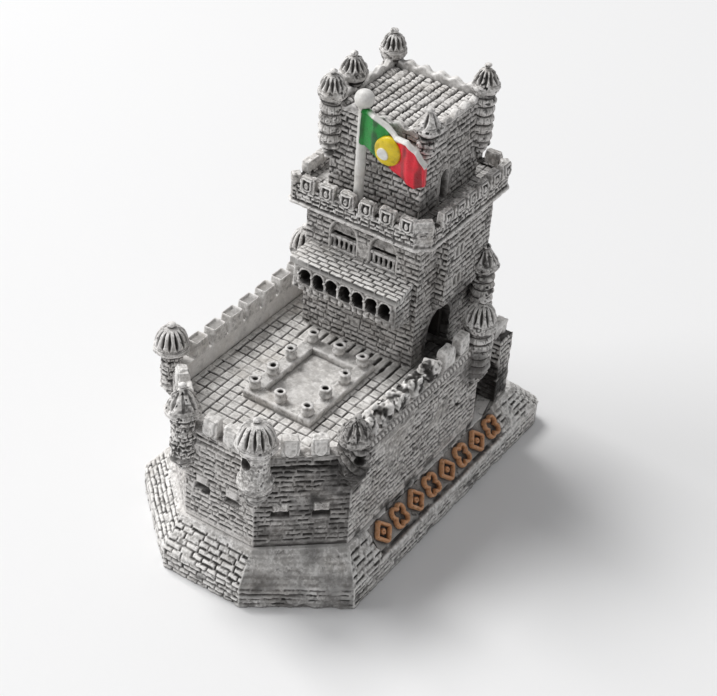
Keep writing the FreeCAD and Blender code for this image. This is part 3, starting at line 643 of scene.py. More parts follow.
def skirt_surface(face, s, t, p, width):
    """Bricks on the slope, rough below, a painted contact shadow along the foot, a smooth band at the wall foot
    and the sunk strip on +X.
    """
    z = p[..., 2]
    soft = face in (side_face, corner_face)
    h, w = coursed(s, t + 0.35, p, 40 + face, upright=0.30 if soft else 0.80, course=1.42, stone=3.3,
                   depth=0.26 if soft else 0.40, worn=0.05 if soft else 0.55)
    band = smooth(skirt_top - 1.1, skirt_top - 0.7, z)
    h, w = lay(h, w, band, rough(p, 3))
    # painted contact shadow: a dark rim along the foot of the base
    w = np.maximum(w, 0.75 * smooth(0.8, 0.1, z + 0.3 * noise(p, 2.0, 66)))
    chipped = smooth(0.15, 0.6, noise(p, 3.0, 77) + 0.4 * noise(p, 1.0, 79)) * smooth(5.5, 2.0, z)
    h -= 0.25 * chipped
    w = np.maximum(w, 0.75 * chipped)
    if face == corner_face:
        upper = smooth(4.6, 6.6, z + 0.6 * noise(p, 4.0, 70))
        h = h * (1 - 0.55 * upper)
        w = w * (1 - 0.5 * upper)
        w = np.maximum(w, 0.48 + 0.28 * noise(p, 2.0, 68) + 0.20 * noise(p, 6.0, 67))
        w = np.maximum(w, 0.65 * smooth(skirt_top - 2.6, skirt_top - 0.6, z + 0.8 * noise(p, 3.5, 69)))
        gash = smooth(0.55, 0.15, np.abs(z - 3.6 + 0.5 * noise(p, 5.0, 78)))
        gash = gash * smooth(0.05, 0.5, noise(p, 6.0, 76) + 0.2)
        h = h - 0.4 * gash
        w = np.maximum(w, 0.9 * gash)
        pale = smooth(7.0, 9.5, z) * smooth(-0.5, 0.4, noise(p, 5.0, 75))
        w = w * (1 - 0.7 * pale)
    if face == side_face:
        y0, y1, z0, z1 = strip
        ragged = 0.55 * noise(p, 1.6, 74) + 0.25 * noise(p, 0.7, 73)
        inside = smooth(-0.3, 0.3, p[..., 1] - y0 + ragged) * smooth(-0.3, 0.3, y1 - p[..., 1] + ragged)
        inside = inside * smooth(-0.2, 0.25, z - z0 + 0.5 + 0.5 * ragged)
        inside = inside * smooth(-0.2, 0.25, z1 + 0.3 - z + ragged)
        wet = np.clip(0.95 + 0.5 * noise(p, 1.5, 9), 0.30, 1.0)
        h, w = lay(h, w, inside, 0.22 * noise(p, 0.9, 72) - 0.62, wet)
        bare = smooth(0.2, 1.0, z - 3.6) * smooth(0.3, -0.3, z - z0 + 0.5) * smooth(y0 - 1, y0 + 1, p[..., 1])
        h, w = lay(h, w, bare, rough(p, 4) * 1.5, 0.3 * smooth(0.3, 0.8, noise(p, 1.3, 71)))
    return h, w


def face_towards(plan, direction):
    """Index of the face of a plan that looks most nearly a given way."""
    best, index = -1.0, 0
    for i in range(len(plan)):
        a, b = np.array(plan[i]), np.array(plan[(i + 1) % len(plan)])
        run = (b - a) / np.linalg.norm(b - a)
        outward = np.array([run[1], -run[0]])
        score = float(outward @ np.array(direction, float)) / math.hypot(*direction)
        if score > best:
            best, index = score, i
    return index


side_face = face_towards(foot_plan, (1, 0))
corner_face = face_towards(foot_plan, (0.6, -0.8))
skirt = tube("skirt_bricks", [(foot_plan, 0.0), (foot_plan, rim_z), (top_plan, skirt_top)], skirt_surface, 0.23)
place(skirt, "skirt_resin", SKIRT, "base_skirt")


# ------------------------------------------------------------------ bastion
WALLS = ["side_left", "front_left", "nose", "front_right", "side_right", "rear"]
wall_nodes = ["wall_" + name for name in WALLS]
wall_plan = outline(wall_nodes, skirt_top)
terrace_z = float(span("wall_nose")[1][2])
sill_z = float(span("parapet_nose")[1][2])
merlon_z = float(span("merlons_front")[1][2])
order = [face_towards(wall_plan, d) for d in ((-1, 0), (-1, -1), (0, -1), (1, -1), (1, 0), (0, 1))]
face_names = {face: name for face, name in zip(order, WALLS)}
string_z = terrace_z + 2.1       # deep string course on the three front faces
moulding_z = terrace_z + 3.6     # roped moulding on the two long sides
parapet_width = 3.3              # thickness of the parapets


def recesses(name, face):
    """Distance along a bastion face and sill height of each window cut in its CAD wall."""
    start = np.array(wall_plan[face])
    run = np.array(wall_plan[(face + 1) % len(wall_plan)]) - start
    width = np.linalg.norm(run)
    run = run / width
    p = node_points("wall_" + name)
    along = (p[:, :2] - start) @ run
    flush = np.abs((p[:, :2] - start) @ np.array([run[1], -run[0]])) < 0.02
    rim = flush & (np.abs(along - width / 2) < width / 2 - 2.2)
    rim = rim & (p[:, 2] > skirt_top + 6) & (p[:, 2] < terrace_z - 6.2)
    if not rim.any():
        return []
    by_distance = np.argsort(along[rim])
    along, height = along[rim][by_distance], p[rim][by_distance][:, 2]
    groups = np.split(np.arange(len(along)), np.nonzero(np.diff(along) > 3.2)[0] + 1)
    return [(float(along[g].min() + along[g].max()) / 2, float(height[g].min())) for g in groups]


cuts = {name: recesses(name, face) for face, name in face_names.items()}


def bastion_surface(face, s, t, p, width):
    """Coursed stone with loopholes, worn patches and a deep string course below the parapet."""
    name = face_names[face]
    z = p[..., 2]
    h, w = coursed(s, z - 0.3, p, 10 + face, worn=0.35)
    patch = smooth(0.25, 0.55, noise(p, 6.5, 31 + face) + 0.3 * noise(p, 2.0, 32))
    h, w = lay(h, w, patch * (0.9 if name == "side_right" else 0.45), rough(p, 8) * 1.4)
    h, w = lay(h, w, smooth(skirt_top + 1.9, skirt_top + 0.7, z + 0.3 * noise(p, 2.0, 33)))
    if name == "front_right":
        w = np.maximum(w, 0.54 + 0.28 * noise(p, 1.6, 39) + 0.20 * noise(p, 5.0, 40))
        # painted shade: a dark band above the ledge at the wall foot
        w = np.maximum(w, 0.85 * smooth(skirt_top + 1.8, skirt_top + 0.3, z + 0.5 * noise(p, 3.0, 34)))
    if name == "side_right":
        # darker on the parapet above the terrace line and in patches towards the wall foot
        w = np.maximum(w, smooth(terrace_z, terrace_z + 0.5, z) * (0.26 + 0.25 * noise(p, 1.8, 45)))
        foot_patches = smooth(0.0, 0.6, noise(p, 2.6, 35) + 0.4 * noise(p, 0.9, 36))
        foot_patches = foot_patches * smooth(skirt_top + 3.0, skirt_top + 0.6, z)
        w = np.maximum(w, 0.8 * foot_patches)
    for centre, sill in cuts[name]:
        if name in ("side_right", "side_left"):
            h, w = loophole(h, w, s, z, centre, sill - 0.6, 2.6, 1.9, 1.5)
        else:
            h, w = loophole(h, w, s, z, centre, sill - 1.1, strength=0.9 if name == "front_right" else 0.55)
    if name in ("front_right", "nose", "front_left"):
        groove = smooth(0.75, 0.30, np.abs(z - string_z + 0.25 * noise(p, 2.5, 37)))
        groove = groove * (1.0 if name == "front_right" else 0.45)
        h = h - 0.75 * groove
        w = np.maximum(w, groove)
    if name in ("side_right", "side_left"):
        rib = smooth(0.95, 0.6, np.abs(z - moulding_z))
        ticks = 0.5 + 0.5 * np.sin(2 * np.pi * (s + 0.5 * (z - moulding_z)) / 1.35 + 0.8 * noise(p, 2.0, 38))
        h = h * (1 - rib) + rib * (0.10 + 0.30 * ticks)
        w = np.maximum(w * (1 - rib), rib * 0.7 * smooth(0.45, 0.1, ticks))
        # painted shadow under the roped moulding
        under = smooth(0.45, 0.15, np.abs(z - moulding_z + 1.2))
        w = np.maximum(w, under * 0.7)
    return h, w


names = [None] * len(wall_plan)
for face, name in face_names.items():
    names[face] = "stone_wall_" + name
for piece in facets(names, [(wall_plan, skirt_top), (wall_plan, terrace_z)], bastion_surface, 3.0):
    source = piece.name.replace("stone_", "")
    place(piece, "bastion_resin", WALL, source)

inner_plan = inset(wall_plan, parapet_width)


def parapet_surface(face, s, t, p, width):
    """Stone outside, plain top and inner face, smoothest on the left side, whose palest resin is painted bounce
    light.
    """
    h, w = bastion_surface(face, s, t, p, width)
    rise = sill_z - terrace_z
    outside = smooth(rise + 0.1, rise - 0.1, t)
    inner = rough(p, 15) * (0.7 if face_names[face] == "side_left" else 1.2)
    inner_foot = rise * 2 + parapet_width
    seam = smooth(inner_foot - 0.9, inner_foot - 0.2, t)
    return h * outside + inner * (1 - outside), w * outside + 0.5 * seam * (1 - outside)


def coping_ring():
    """Parapets: one closed piece per side but the rear, wrapped from the outer foot over the top to the inner
    foot.
    """
    levels = [(wall_plan, terrace_z), (wall_plan, sill_z), (inner_plan, sill_z), (inner_plan, terrace_z)]
    *ring, _, starts = surfaced(levels, parapet_surface, STEP)
    for face, name in face_names.items():
        if name == "rear":
            continue
        piece = wrapped("parapet_stone_" + name, ring, face_columns(face, starts, ring[0].shape[1]))
        # the left parapet takes the palest resin: painted bounce light on its inner face
        place(piece, "bastion_resin", BOUNCE_PALE if name == "side_left" else WALL, "parapet_" + name)


coping_ring()

deck_low, deck_high = span("terrace_deck")
kerb_low, kerb_high = span("court_kerbs")


def deck():
    """Terrace paved with square tiles, smooth inside the court."""
    ys = np.linspace(inner_plan[:, 1].min(), inner_plan[:, 1].max(), 300)
    plan = np.array(inner_plan)

    def edge(y, sign):
        best = None
        for i in range(len(plan)):
            a, b = plan[i], plan[(i + 1) % len(plan)]
            if min(a[1], b[1]) - 1e-6 <= y <= max(a[1], b[1]) + 1e-6 and abs(a[1] - b[1]) > 1e-6:
                x = a[0] + (b[0] - a[0]) * (y - a[1]) / (b[1] - a[1])
                best = x if best is None or sign * x > sign * best else best
        return best

    left = np.array([edge(y, -1) for y in ys])
    right = np.array([edge(y, 1) for y in ys])
    f = np.linspace(0, 1, 215)
    grid = np.zeros((len(ys), len(f), 3))
    grid[..., 0] = left[:, None] * (1 - f) + right[:, None] * f
    grid[..., 1] = ys[:, None]
    grid[..., 2] = deck_high[2]
    x = grid[..., 0] + 0.12 * noise(grid, 6.0, 51)
    y = grid[..., 1] + 0.12 * noise(grid, 6.0, 52)
    tile = 2.55
    gx, gy = np.round(x / tile), np.round(y / tile)
    dx = np.abs(x / tile - gx) * tile
    dy = np.abs(y / tile - gy) * tile
    ragged = 0.06 * noise(grid, 0.7, 58)
    strength_x = 0.35 + 0.75 * scatter(gx, np.floor(y / tile), 0, 53)
    strength_y = 0.35 + 0.75 * scatter(gy, np.floor(x / tile), 1, 53)
    joint = np.maximum(strength_x * smooth(0.34, 0.12, dx + ragged),
                       strength_y * smooth(0.34, 0.10, dy + ragged))
    joint = np.clip(joint, 0, 1)
    fade = smooth(-0.9, -0.3, noise(grid, 8.0, 54) + 0.35)
    long_slots = smooth(1.5, 4.0, grid[..., 1]) * smooth(15.0, 13.0, np.abs(grid[..., 0]))
    wide = smooth(0.62, 0.22, dx + 0.15 * noise(grid, 1.5, 57))
    joint = joint * (1 - long_slots) + long_slots * wide     # near the tower only joints along Y show
    court = smooth(0.4, -0.2, np.abs(x) - kerb_high[0]) * smooth(0.4, -0.2, kerb_low[1] - y)
    court = court * smooth(0.4, -0.2, y - kerb_high[1])
    edge_band = smooth(1.2, 0.6, np.minimum(grid[..., 0] - left[:, None], right[:, None] - grid[..., 0]))
    joint = joint * fade * (1 - court) * (1 - 0.7 * edge_band)
    tilt = 0.10 * (scatter(np.floor(x / tile), np.floor(y / tile), 2, 55) - 0.5)
    pits = smooth(0.55, 0.85, noise(grid, 0.9, 59)) * (1 - court)
    relief = -0.38 * joint + tilt * (1 - joint) * (1 - court) - 0.12 * pits + rough(grid, 56)
    wash = np.maximum(smooth(0.15, 0.85, joint), 0.45 * pits)
    wash = np.maximum(wash, court * (0.13 + 0.12 * noise(grid, 2.2, 60)))
    return flat_slab("terrace_tiles", grid, relief, deck_low[2], wash)


place(deck(), "terrace_resin", PALE, "terrace_deck")


# ------------------------------------------------------------------ blocks and bollards
def block_points(half, cuts, radius):
    """Rounded box: vertices, quads and outward directions, about its centre."""
    faces = []
    for axis in range(3):
        a, b = (axis + 1) % 3, (axis + 2) % 3
        for sign in (-1, 1):
            u, v = np.meshgrid(np.linspace(-1, 1, cuts[a] + 1), np.linspace(-1, 1, cuts[b] + 1), indexing="ij")
            cube = np.zeros(u.shape + (3,))
            cube[..., axis] = sign
            cube[..., a] = u
            cube[..., b] = v
            if sign < 0:
                cube = cube[::-1]
            faces.append(cube)
    points, quads, offset = [], [], 0
    for cube in faces:
        rows, columns = cube.shape[:2]
        q = grid_quads(rows, columns) + offset
        quads.append(q[:, ::-1])
        points.append(cube.reshape(-1, 3))
        offset += rows * columns
    points = np.vstack(points)
    keys, inverse = np.unique(np.round(points, 5), axis=0, return_inverse=True)
    quads = inverse.reshape(-1)[np.vstack(quads)]
    p = keys * half
    core = np.clip(p, -(half - radius), half - radius)
    d = p - core
    length = np.linalg.norm(d, axis=1)[:, None]
    return core + radius * d / np.maximum(length, 1e-9), quads, d / np.maximum(length, 1e-9)


def turn(points, angle):
    """Points turned about Z."""
    c, s = math.cos(angle), math.sin(angle)
    return points @ np.array([[c, s, 0], [-s, c, 0], [0, 0, 1]])


def islands(node_name):
    """Vertices of each separate solid inside one CAD node, joined by edges and shared places."""
    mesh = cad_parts[node_name].data
    parent = list(range(len(mesh.vertices)))

    def root(i):
        while parent[i] != i:
            parent[i] = parent[parent[i]]
            i = parent[i]
        return i

    points = node_points(node_name)
    first_at = {}
    for i, p in enumerate(np.round(points, 3)):
        key = tuple(p)
        if key in first_at:
            parent[root(i)] = root(first_at[key])
        else:
            first_at[key] = i
    for edge in mesh.edges:
        a, b = root(edge.vertices[0]), root(edge.vertices[1])
        if a != b:
            parent[a] = b
    groups = {}
    for i in range(len(points)):
        groups.setdefault(root(i), []).append(i)
    return [points[ids] for ids in groups.values()]


def stack(name, parts):
    """One mesh from several (points, quads, wash) parts."""
    points, quads, wash, offset = [], [], [], 0
    for p, q, w in parts:
        points.append(p)
        quads.append(q + offset)
        wash.append(w)
        offset += len(p)
    return make_mesh(name, np.vstack(points), np.vstack(quads), (), np.concatenate(wash))


def crenel(centre, half, angle, seed, cuts=(16, 12, 16), lump=0.25, shield=0, cap=0.0, flare=0.0, dish=0.0):
    """Crenel block; its outer face looks along local -Y. shield: 0 none, 1 plain plate, 2 framed field."""
    p, q, d = block_points(np.array(half), cuts, min(half) * 0.22)
    rise = (p[:, 2] + half[2]) / (2 * half[2])
    top = smooth(0.62, 1.0, rise)
    p[:, 1] *= 1 - cap * top
    p[:, 0] *= (1 - 0.6 * cap * top) * (1 + flare * (1 - rise) ** 1.5)
    hollow = top * smooth(1.0, 0.55, np.maximum(np.abs(p[:, 0]) / half[0], np.abs(p[:, 1]) / half[1])) * dish
    p[:, 2] -= hollow * 0.9
    world = turn(p, angle) + centre
    push = lump * noise(world, 1.7, seed) + 0.6 * lump * noise(world, 0.7, seed + 1)
    push = push + 0.05 * noise(world, 0.4, seed + 5)
    wash = smooth(0.25, 0.8, noise(world, 0.9, seed + 2)) * min(0.9, 0.35 + lump)
    wash = np.maximum(wash, smooth(0.25, 0.0, rise) * 0.6 * (lump > 0.2))
    wash = np.maximum(wash, smooth(0.20, -0.25, push / max(lump, 0.05)) * (lump > 0.4))
    wash = np.maximum(wash, 0.6 * hollow)
    if shield:
        front = (d[:, 1] < -0.6).astype(float)
        w, low, height = half[0] * 0.66, -half[2] * 0.80, half[2] * 1.65
        x = p[:, 0] / w
        z = (p[:, 2] - low) / height
        bottom = 0.40 * (1 - np.sqrt(np.clip(1 - x * x, 0, 1)))
        inside = np.minimum((1 - np.abs(x)) * w, (1 - z) * height)
        inside = np.minimum(inside, (z - bottom) * height)
        rim = smooth(-0.22, 0.02, inside)
        gap = front * smooth(-0.45, -0.1, inside) * (1 - rim)
        if shield == 1:
            push = push + front * 0.40 * rim
            wash = np.maximum(wash * (1 - front * rim), 0.5 * gap)
        else:
            field = smooth(0.22, 0.40, inside)
            boss = smooth(0.62, 0.40, np.hypot(p[:, 0], (p[:, 2] + 0.05 * half[2]) * 0.62))
            push = push + front * (0.42 * rim - 0.45 * field + 0.42 * boss * field)
            wash = wash * (1 - front * rim) + front * field * (1 - boss) + 0.8 * gap
    p = p + d * push[:, None]
    return turn(p, angle) + centre, q, np.clip(wash, 0, 1)


def outward_angle(centre):
    """Angle that turns local -Y towards the outside of the bastion at a point on its parapet."""
    plan = np.array(wall_plan)
    best = None
    for i in range(len(plan)):
        a, b = plan[i], plan[(i + 1) % len(plan)]
        run = (b - a) / np.linalg.norm(b - a)
        offset = abs((centre[0] - a[0]) * run[1] - (centre[1] - a[1]) * run[0])
        reach = (centre[:2] - a) @ run
        if -1 < reach < np.linalg.norm(b - a) + 1 and (best is None or offset < best[0]):
            best = (offset, math.atan2(run[1], run[0]))
    return best[1]


rubble_y = 8.0       # in front of this Y the right side's crest is worn to rubble
for name in ("merlons_front", "merlons_side_right", "merlons_side_left"):
    parts = []
    for number, points in enumerate(islands(name)):
        low, high = points.min(0), points.max(0)
        centre = (low + high) / 2
        angle = outward_angle(centre)
        middle = np.array([centre[0], centre[1], (sill_z + merlon_z) / 2 - 0.15])
        height = (merlon_z - sill_z) / 2
        seed = 100 + 7 * number + len(name)
        if name == "merlons_front":
            parts.append(crenel(middle, (1.95, 1.35, height + 0.1), angle, seed, (22, 15, 24), 0.22, 1, 0.12))
        elif name == "merlons_side_left":
            middle = middle + np.array([0.22, 0, -0.1])
            # the small lump leaves these blocks less dark: painted bounce light on their inner faces
            parts.append(crenel(middle, (2.2, 1.62, height + 0.1), angle, seed, (24, 18, 22), 0.10, cap=0.05,
                                flare=0.30, dish=0.9))
        elif centre[1] > rubble_y:
            parts.append(crenel(middle, (1.95, 1.4, height + 0.1), angle, seed, (22, 16, 22), 0.14, cap=0.12))
        else:
            middle = middle - np.array([0.2, 0, 0])
            parts.append(crenel(middle, (2.2, 1.55, height), angle, seed, (26, 20, 26), 0.85))
    place(stack("blocks_" + name, parts), "merlon_resin", PALE, name)

kerb_points = node_points("court_kerbs")
xs = sorted({round(float(v), 1) for v in kerb_points[:, 0]})
ys = sorted({round(float(v), 1) for v in kerb_points[:, 1]})
kerb_boxes = [(xs[0], xs[1], ys[0], ys[-1]), (xs[-2], xs[-1], ys[0], ys[-1]),
              (xs[1], xs[-2], ys[0], ys[1]), (xs[1], xs[-2], ys[-2], ys[-1])]
parts = []
for ax, bx, ay, by in kerb_boxes:
    low = np.array([ax - 0.1, ay - 0.1, kerb_low[2] - 0.3])
    high = np.array([bx + 0.1, by + 0.1, kerb_high[2]])
    half = (high - low) / 2
    divisions = tuple(int(max(6, h * 2 / 0.26)) for h in half)
    p, q, d = block_points(half, divisions, 0.4)
    world = p + (low + high) / 2
    push = 0.16 * noise(world, 2.2, 61) + 0.09 * noise(world, 0.9, 62) + 0.04 * noise(world, 0.45, 63)
    foot_line = smooth(low[2] + 1.1, low[2] + 0.5, world[:, 2])
    wash = np.maximum(0.6 * foot_line, 0.4 * smooth(0.5, 0.9, noise(world, 0.8, 60)))
    parts.append((world + d * push[:, None], q, wash))
place(stack("court_kerb_blocks", parts), "terrace_resin", COURT, "court_kerbs")


def lathe(profile, centre, around, shape=None, lean=(0, 0)):
    """Closed turned form. profile is (radius, height) pairs from foot to top, both ends on the axis."""
    profile = np.array(profile, float)
    theta = np.arange(around) / around * 2 * np.pi
    r = profile[1:-1, 0][:, None] * np.ones(around)
    z = profile[1:-1, 1][:, None] * np.ones(around)
    wash = np.zeros_like(r)
    if shape is not None:
        dr, wash = shape(theta[None, :] * np.ones_like(r), z, r)
        r = np.maximum(0.05, r + dr)
    x = centre[0] + r * np.cos(theta) + lean[0] * (z - z.min())
    y = centre[1] + r * np.sin(theta) + lean[1] * (z - z.min())
    ring = np.stack([x, y, z], -1)
    rows = len(r)
    points = np.vstack([ring.reshape(-1, 3), [[centre[0], centre[1], profile[0, 1]],
                                              [x[-1].mean(), y[-1].mean(), profile[-1, 1]]]])
    quads = grid_quads(rows, around, True)
    foot, crown = rows * around, rows * around + 1
    i = np.arange(around)
    nxt = (i + 1) % around
    fans = [(foot, nxt[k], i[k]) for k in range(around)]
    fans += [(crown, (rows - 1) * around + i[k], (rows - 1) * around + nxt[k]) for k in range(around)]
    return points, quads, fans, np.concatenate([wash.ravel(), [0.3, 0.0]])


def turned(name, profile, centre, around, shape=None, lean=(0, 0)):
    """Object from one turned form."""
    points, quads, fans, wash = lathe(profile, centre, around, shape, lean)
    piece = make_mesh(name, points, quads, fans, wash)
    piece.data.polygons.foreach_set("use_smooth", np.ones(len(piece.data.polygons), bool))
    return piece


for number, points in enumerate(islands("court_bollards")):
    low, high = points.min(0), points.max(0)
    axis = (low[:2] + high[:2]) / 2
    radius = (high[0] - low[0]) / 2
    top, foot = high[2], low[2] - 0.6
    heights = np.linspace(foot, top - 0.1, 22)
    profile = [(0, foot)] + [(radius * (1.0 + 0.13 * math.cos(3.6 * (z - foot))), z) for z in heights]
    profile += [(radius * r, top + z) for r, z in (
        (0.95, 0.02), (0.80, 0.10), (0.64, 0.06), (0.52, -0.05), (0.44, -0.3), (0.38, -0.7), (0.30, -1.2))]
    profile.append((0, top - 1.2))

    def bumpy(theta, z, r, seed=number, centre=axis, top=top):
        p = on_circle(centre, theta, r, z)
        hole = (r < 0.75) * smooth(top + 0.02, top - 0.25, z)
        dr = 0.24 * noise(p, 1.4, 70 + seed) + 0.10 * noise(p, 0.6, 75 + seed)
        return dr * (r > 0.4), np.maximum(hole, 0.55 * smooth(0.3, 0.8, noise(p, 0.8, 80 + seed)))

    shift = 0.15 * np.array([math.sin(5.1 * number), math.cos(3.7 * number)])
    post = turned("bollard_%02d" % number, profile, axis + shift, 44, bumpy,
                  (0.10 * math.sin(2.3 * number), 0.10 * math.cos(4.1 * number)))
    place(post, "terrace_resin", COURT, *first_only(number, "court_bollards"))


# ------------------------------------------------------------------ turrets
CORBEL = 4.6         # height of a turret's corbelled foot
NECK = 1.5           # distance of a turret's neck below its rim
HOLE_DROP = 4.2      # distance of a lookout hole below the rim


def turret_sizes(node_name, points=None):
    """Axis, foot, rim and top heights and radii of a turret, read from its CAD solid."""
    points = node_points(node_name) if points is None else points
    foot, top = float(points[:, 2].min()), float(points[:, 2].max())
    head = points[points[:, 2] > foot + 0.55 * (top - foot)]
    low, high = head.min(0), head.max(0)
    rim_r = float(high[1] - low[1]) / 2
    centre = np.array([(low[0] + high[0]) / 2, (low[1] + high[1]) / 2])
    r = np.hypot(head[:, 0] - centre[0], head[:, 1] - centre[1])
    rim = float(head[r > rim_r - 0.02][:, 2].mean())
    shaft = points[(points[:, 2] > foot + 4.5) & (points[:, 2] < rim - 1.0)]
    from_axis = np.hypot(shaft[:, 0] - centre[0], shaft[:, 1] - centre[1])
    shaft_r = float(from_axis.min()) if len(shaft) else rim_r * 0.7
    return centre, foot, rim, top, rim_r, max(shaft_r, rim_r * 0.5)


STYLES = {
    "turret_front_left": dict(kind="courses", rings=3, ribs=13, around=170),
    "turret_nose_left": dict(kind="courses", rings=1, ribs=8, around=170, worn=1.0, cone=0.7),
    "turret_nose_right": dict(kind="bulge", rings=1, ribs=13, around=200, worn=0.35, hole=4.45),
    "turret_front_right": dict(kind="rope", rings=0, ribs=9, around=180, worn=1.3, cone=0.4, hole=-0.55),
    "turret_rear_right": dict(kind="rings", rings=5, ribs=13, around=170, worn=0.35),
    "turret_rear_left": dict(kind="rings", rings=4, ribs=12, around=120),
    "upper_turret_front_left": dict(kind="rings", rings=4, ribs=13, around=150, worn=0.4),
    "upper_turret_front_right": dict(kind="plain", rings=0, ribs=5, around=130, worn=1.1, cone=1.0),
    "upper_turret_rear_left": dict(kind="rings", rings=3, ribs=13, around=150, worn=0.3),
    "upper_turret_rear_right": dict(kind="rings", rings=5, ribs=12, around=150, worn=0.5, cone=0.35),
    "upper_turret_side_left": dict(kind="rings", rings=3, ribs=12, around=150, worn=0.4, cone=0.2),
}


def turret_profile(foot, rim, top, rim_r, shaft_r, kind, rings, cone):
    """Radius against height for one watch turret."""
    base = foot + CORBEL
    neck = rim - NECK
    z = np.concatenate([np.linspace(foot, rim + 0.5, 110), np.linspace(rim + 0.5, top - 1.1, 50)[1:]])
    corbel = np.clip((z - foot) / (base - foot), 0, 1)
    low = 0.5 + (shaft_r + 0.30 - 0.5) * corbel ** 0.85
    low = low + 0.26 * np.sin(corbel * 3 * 2 * np.pi - 1.2) * (0.4 + corbel)
    shaft = np.full_like(z, shaft_r)
    if rings:
        phase = np.clip((z - base) / (neck - base), 0, 1) * (rings + 0.5)
        shaft = shaft + (0.60 if kind == "rings" else 0.2) * np.abs(np.sin(np.pi * phase)) ** 1.3 - 0.15
    if kind == "bulge":
        shaft = shaft_r - 0.30 + 1.05 * np.exp(-((z - base - 1.9) / 1.8) ** 2)
        low = 0.5 + (shaft_r + 0.15 - 0.5) * corbel ** 0.6 + 0.30 * np.sin(corbel * 3 * 2 * np.pi - 1.2)
    flare = smooth(neck - 0.1, rim - 0.5, z)
    r = np.where(z < base, low, shaft)
    r = r * (1 - flare) + rim_r * flare
    r = np.where(z > rim + 0.25, rim_r * 0.93, r)
    h = np.clip((z - rim - 0.3) / (top - 1.1 - rim - 0.3), 0, 1)
    onion = np.sqrt(np.clip(1 - h ** 2.2, 0, 1)) * rim_r * 0.96
    pointed = (1 - h) ** 0.75 * rim_r * 0.96
    r = np.where(z > rim + 0.4, np.maximum(onion * (1 - cone) + pointed * cone, 0.45), r)
    knob = [(0.62, top - 1.0), (0.92, top - 0.8), (0.98, top - 0.55), (0.80, top - 0.28), (0.42, top - 0.06)]
    return [(0, foot)] + list(zip(r, z)) + knob + [(0, top)]


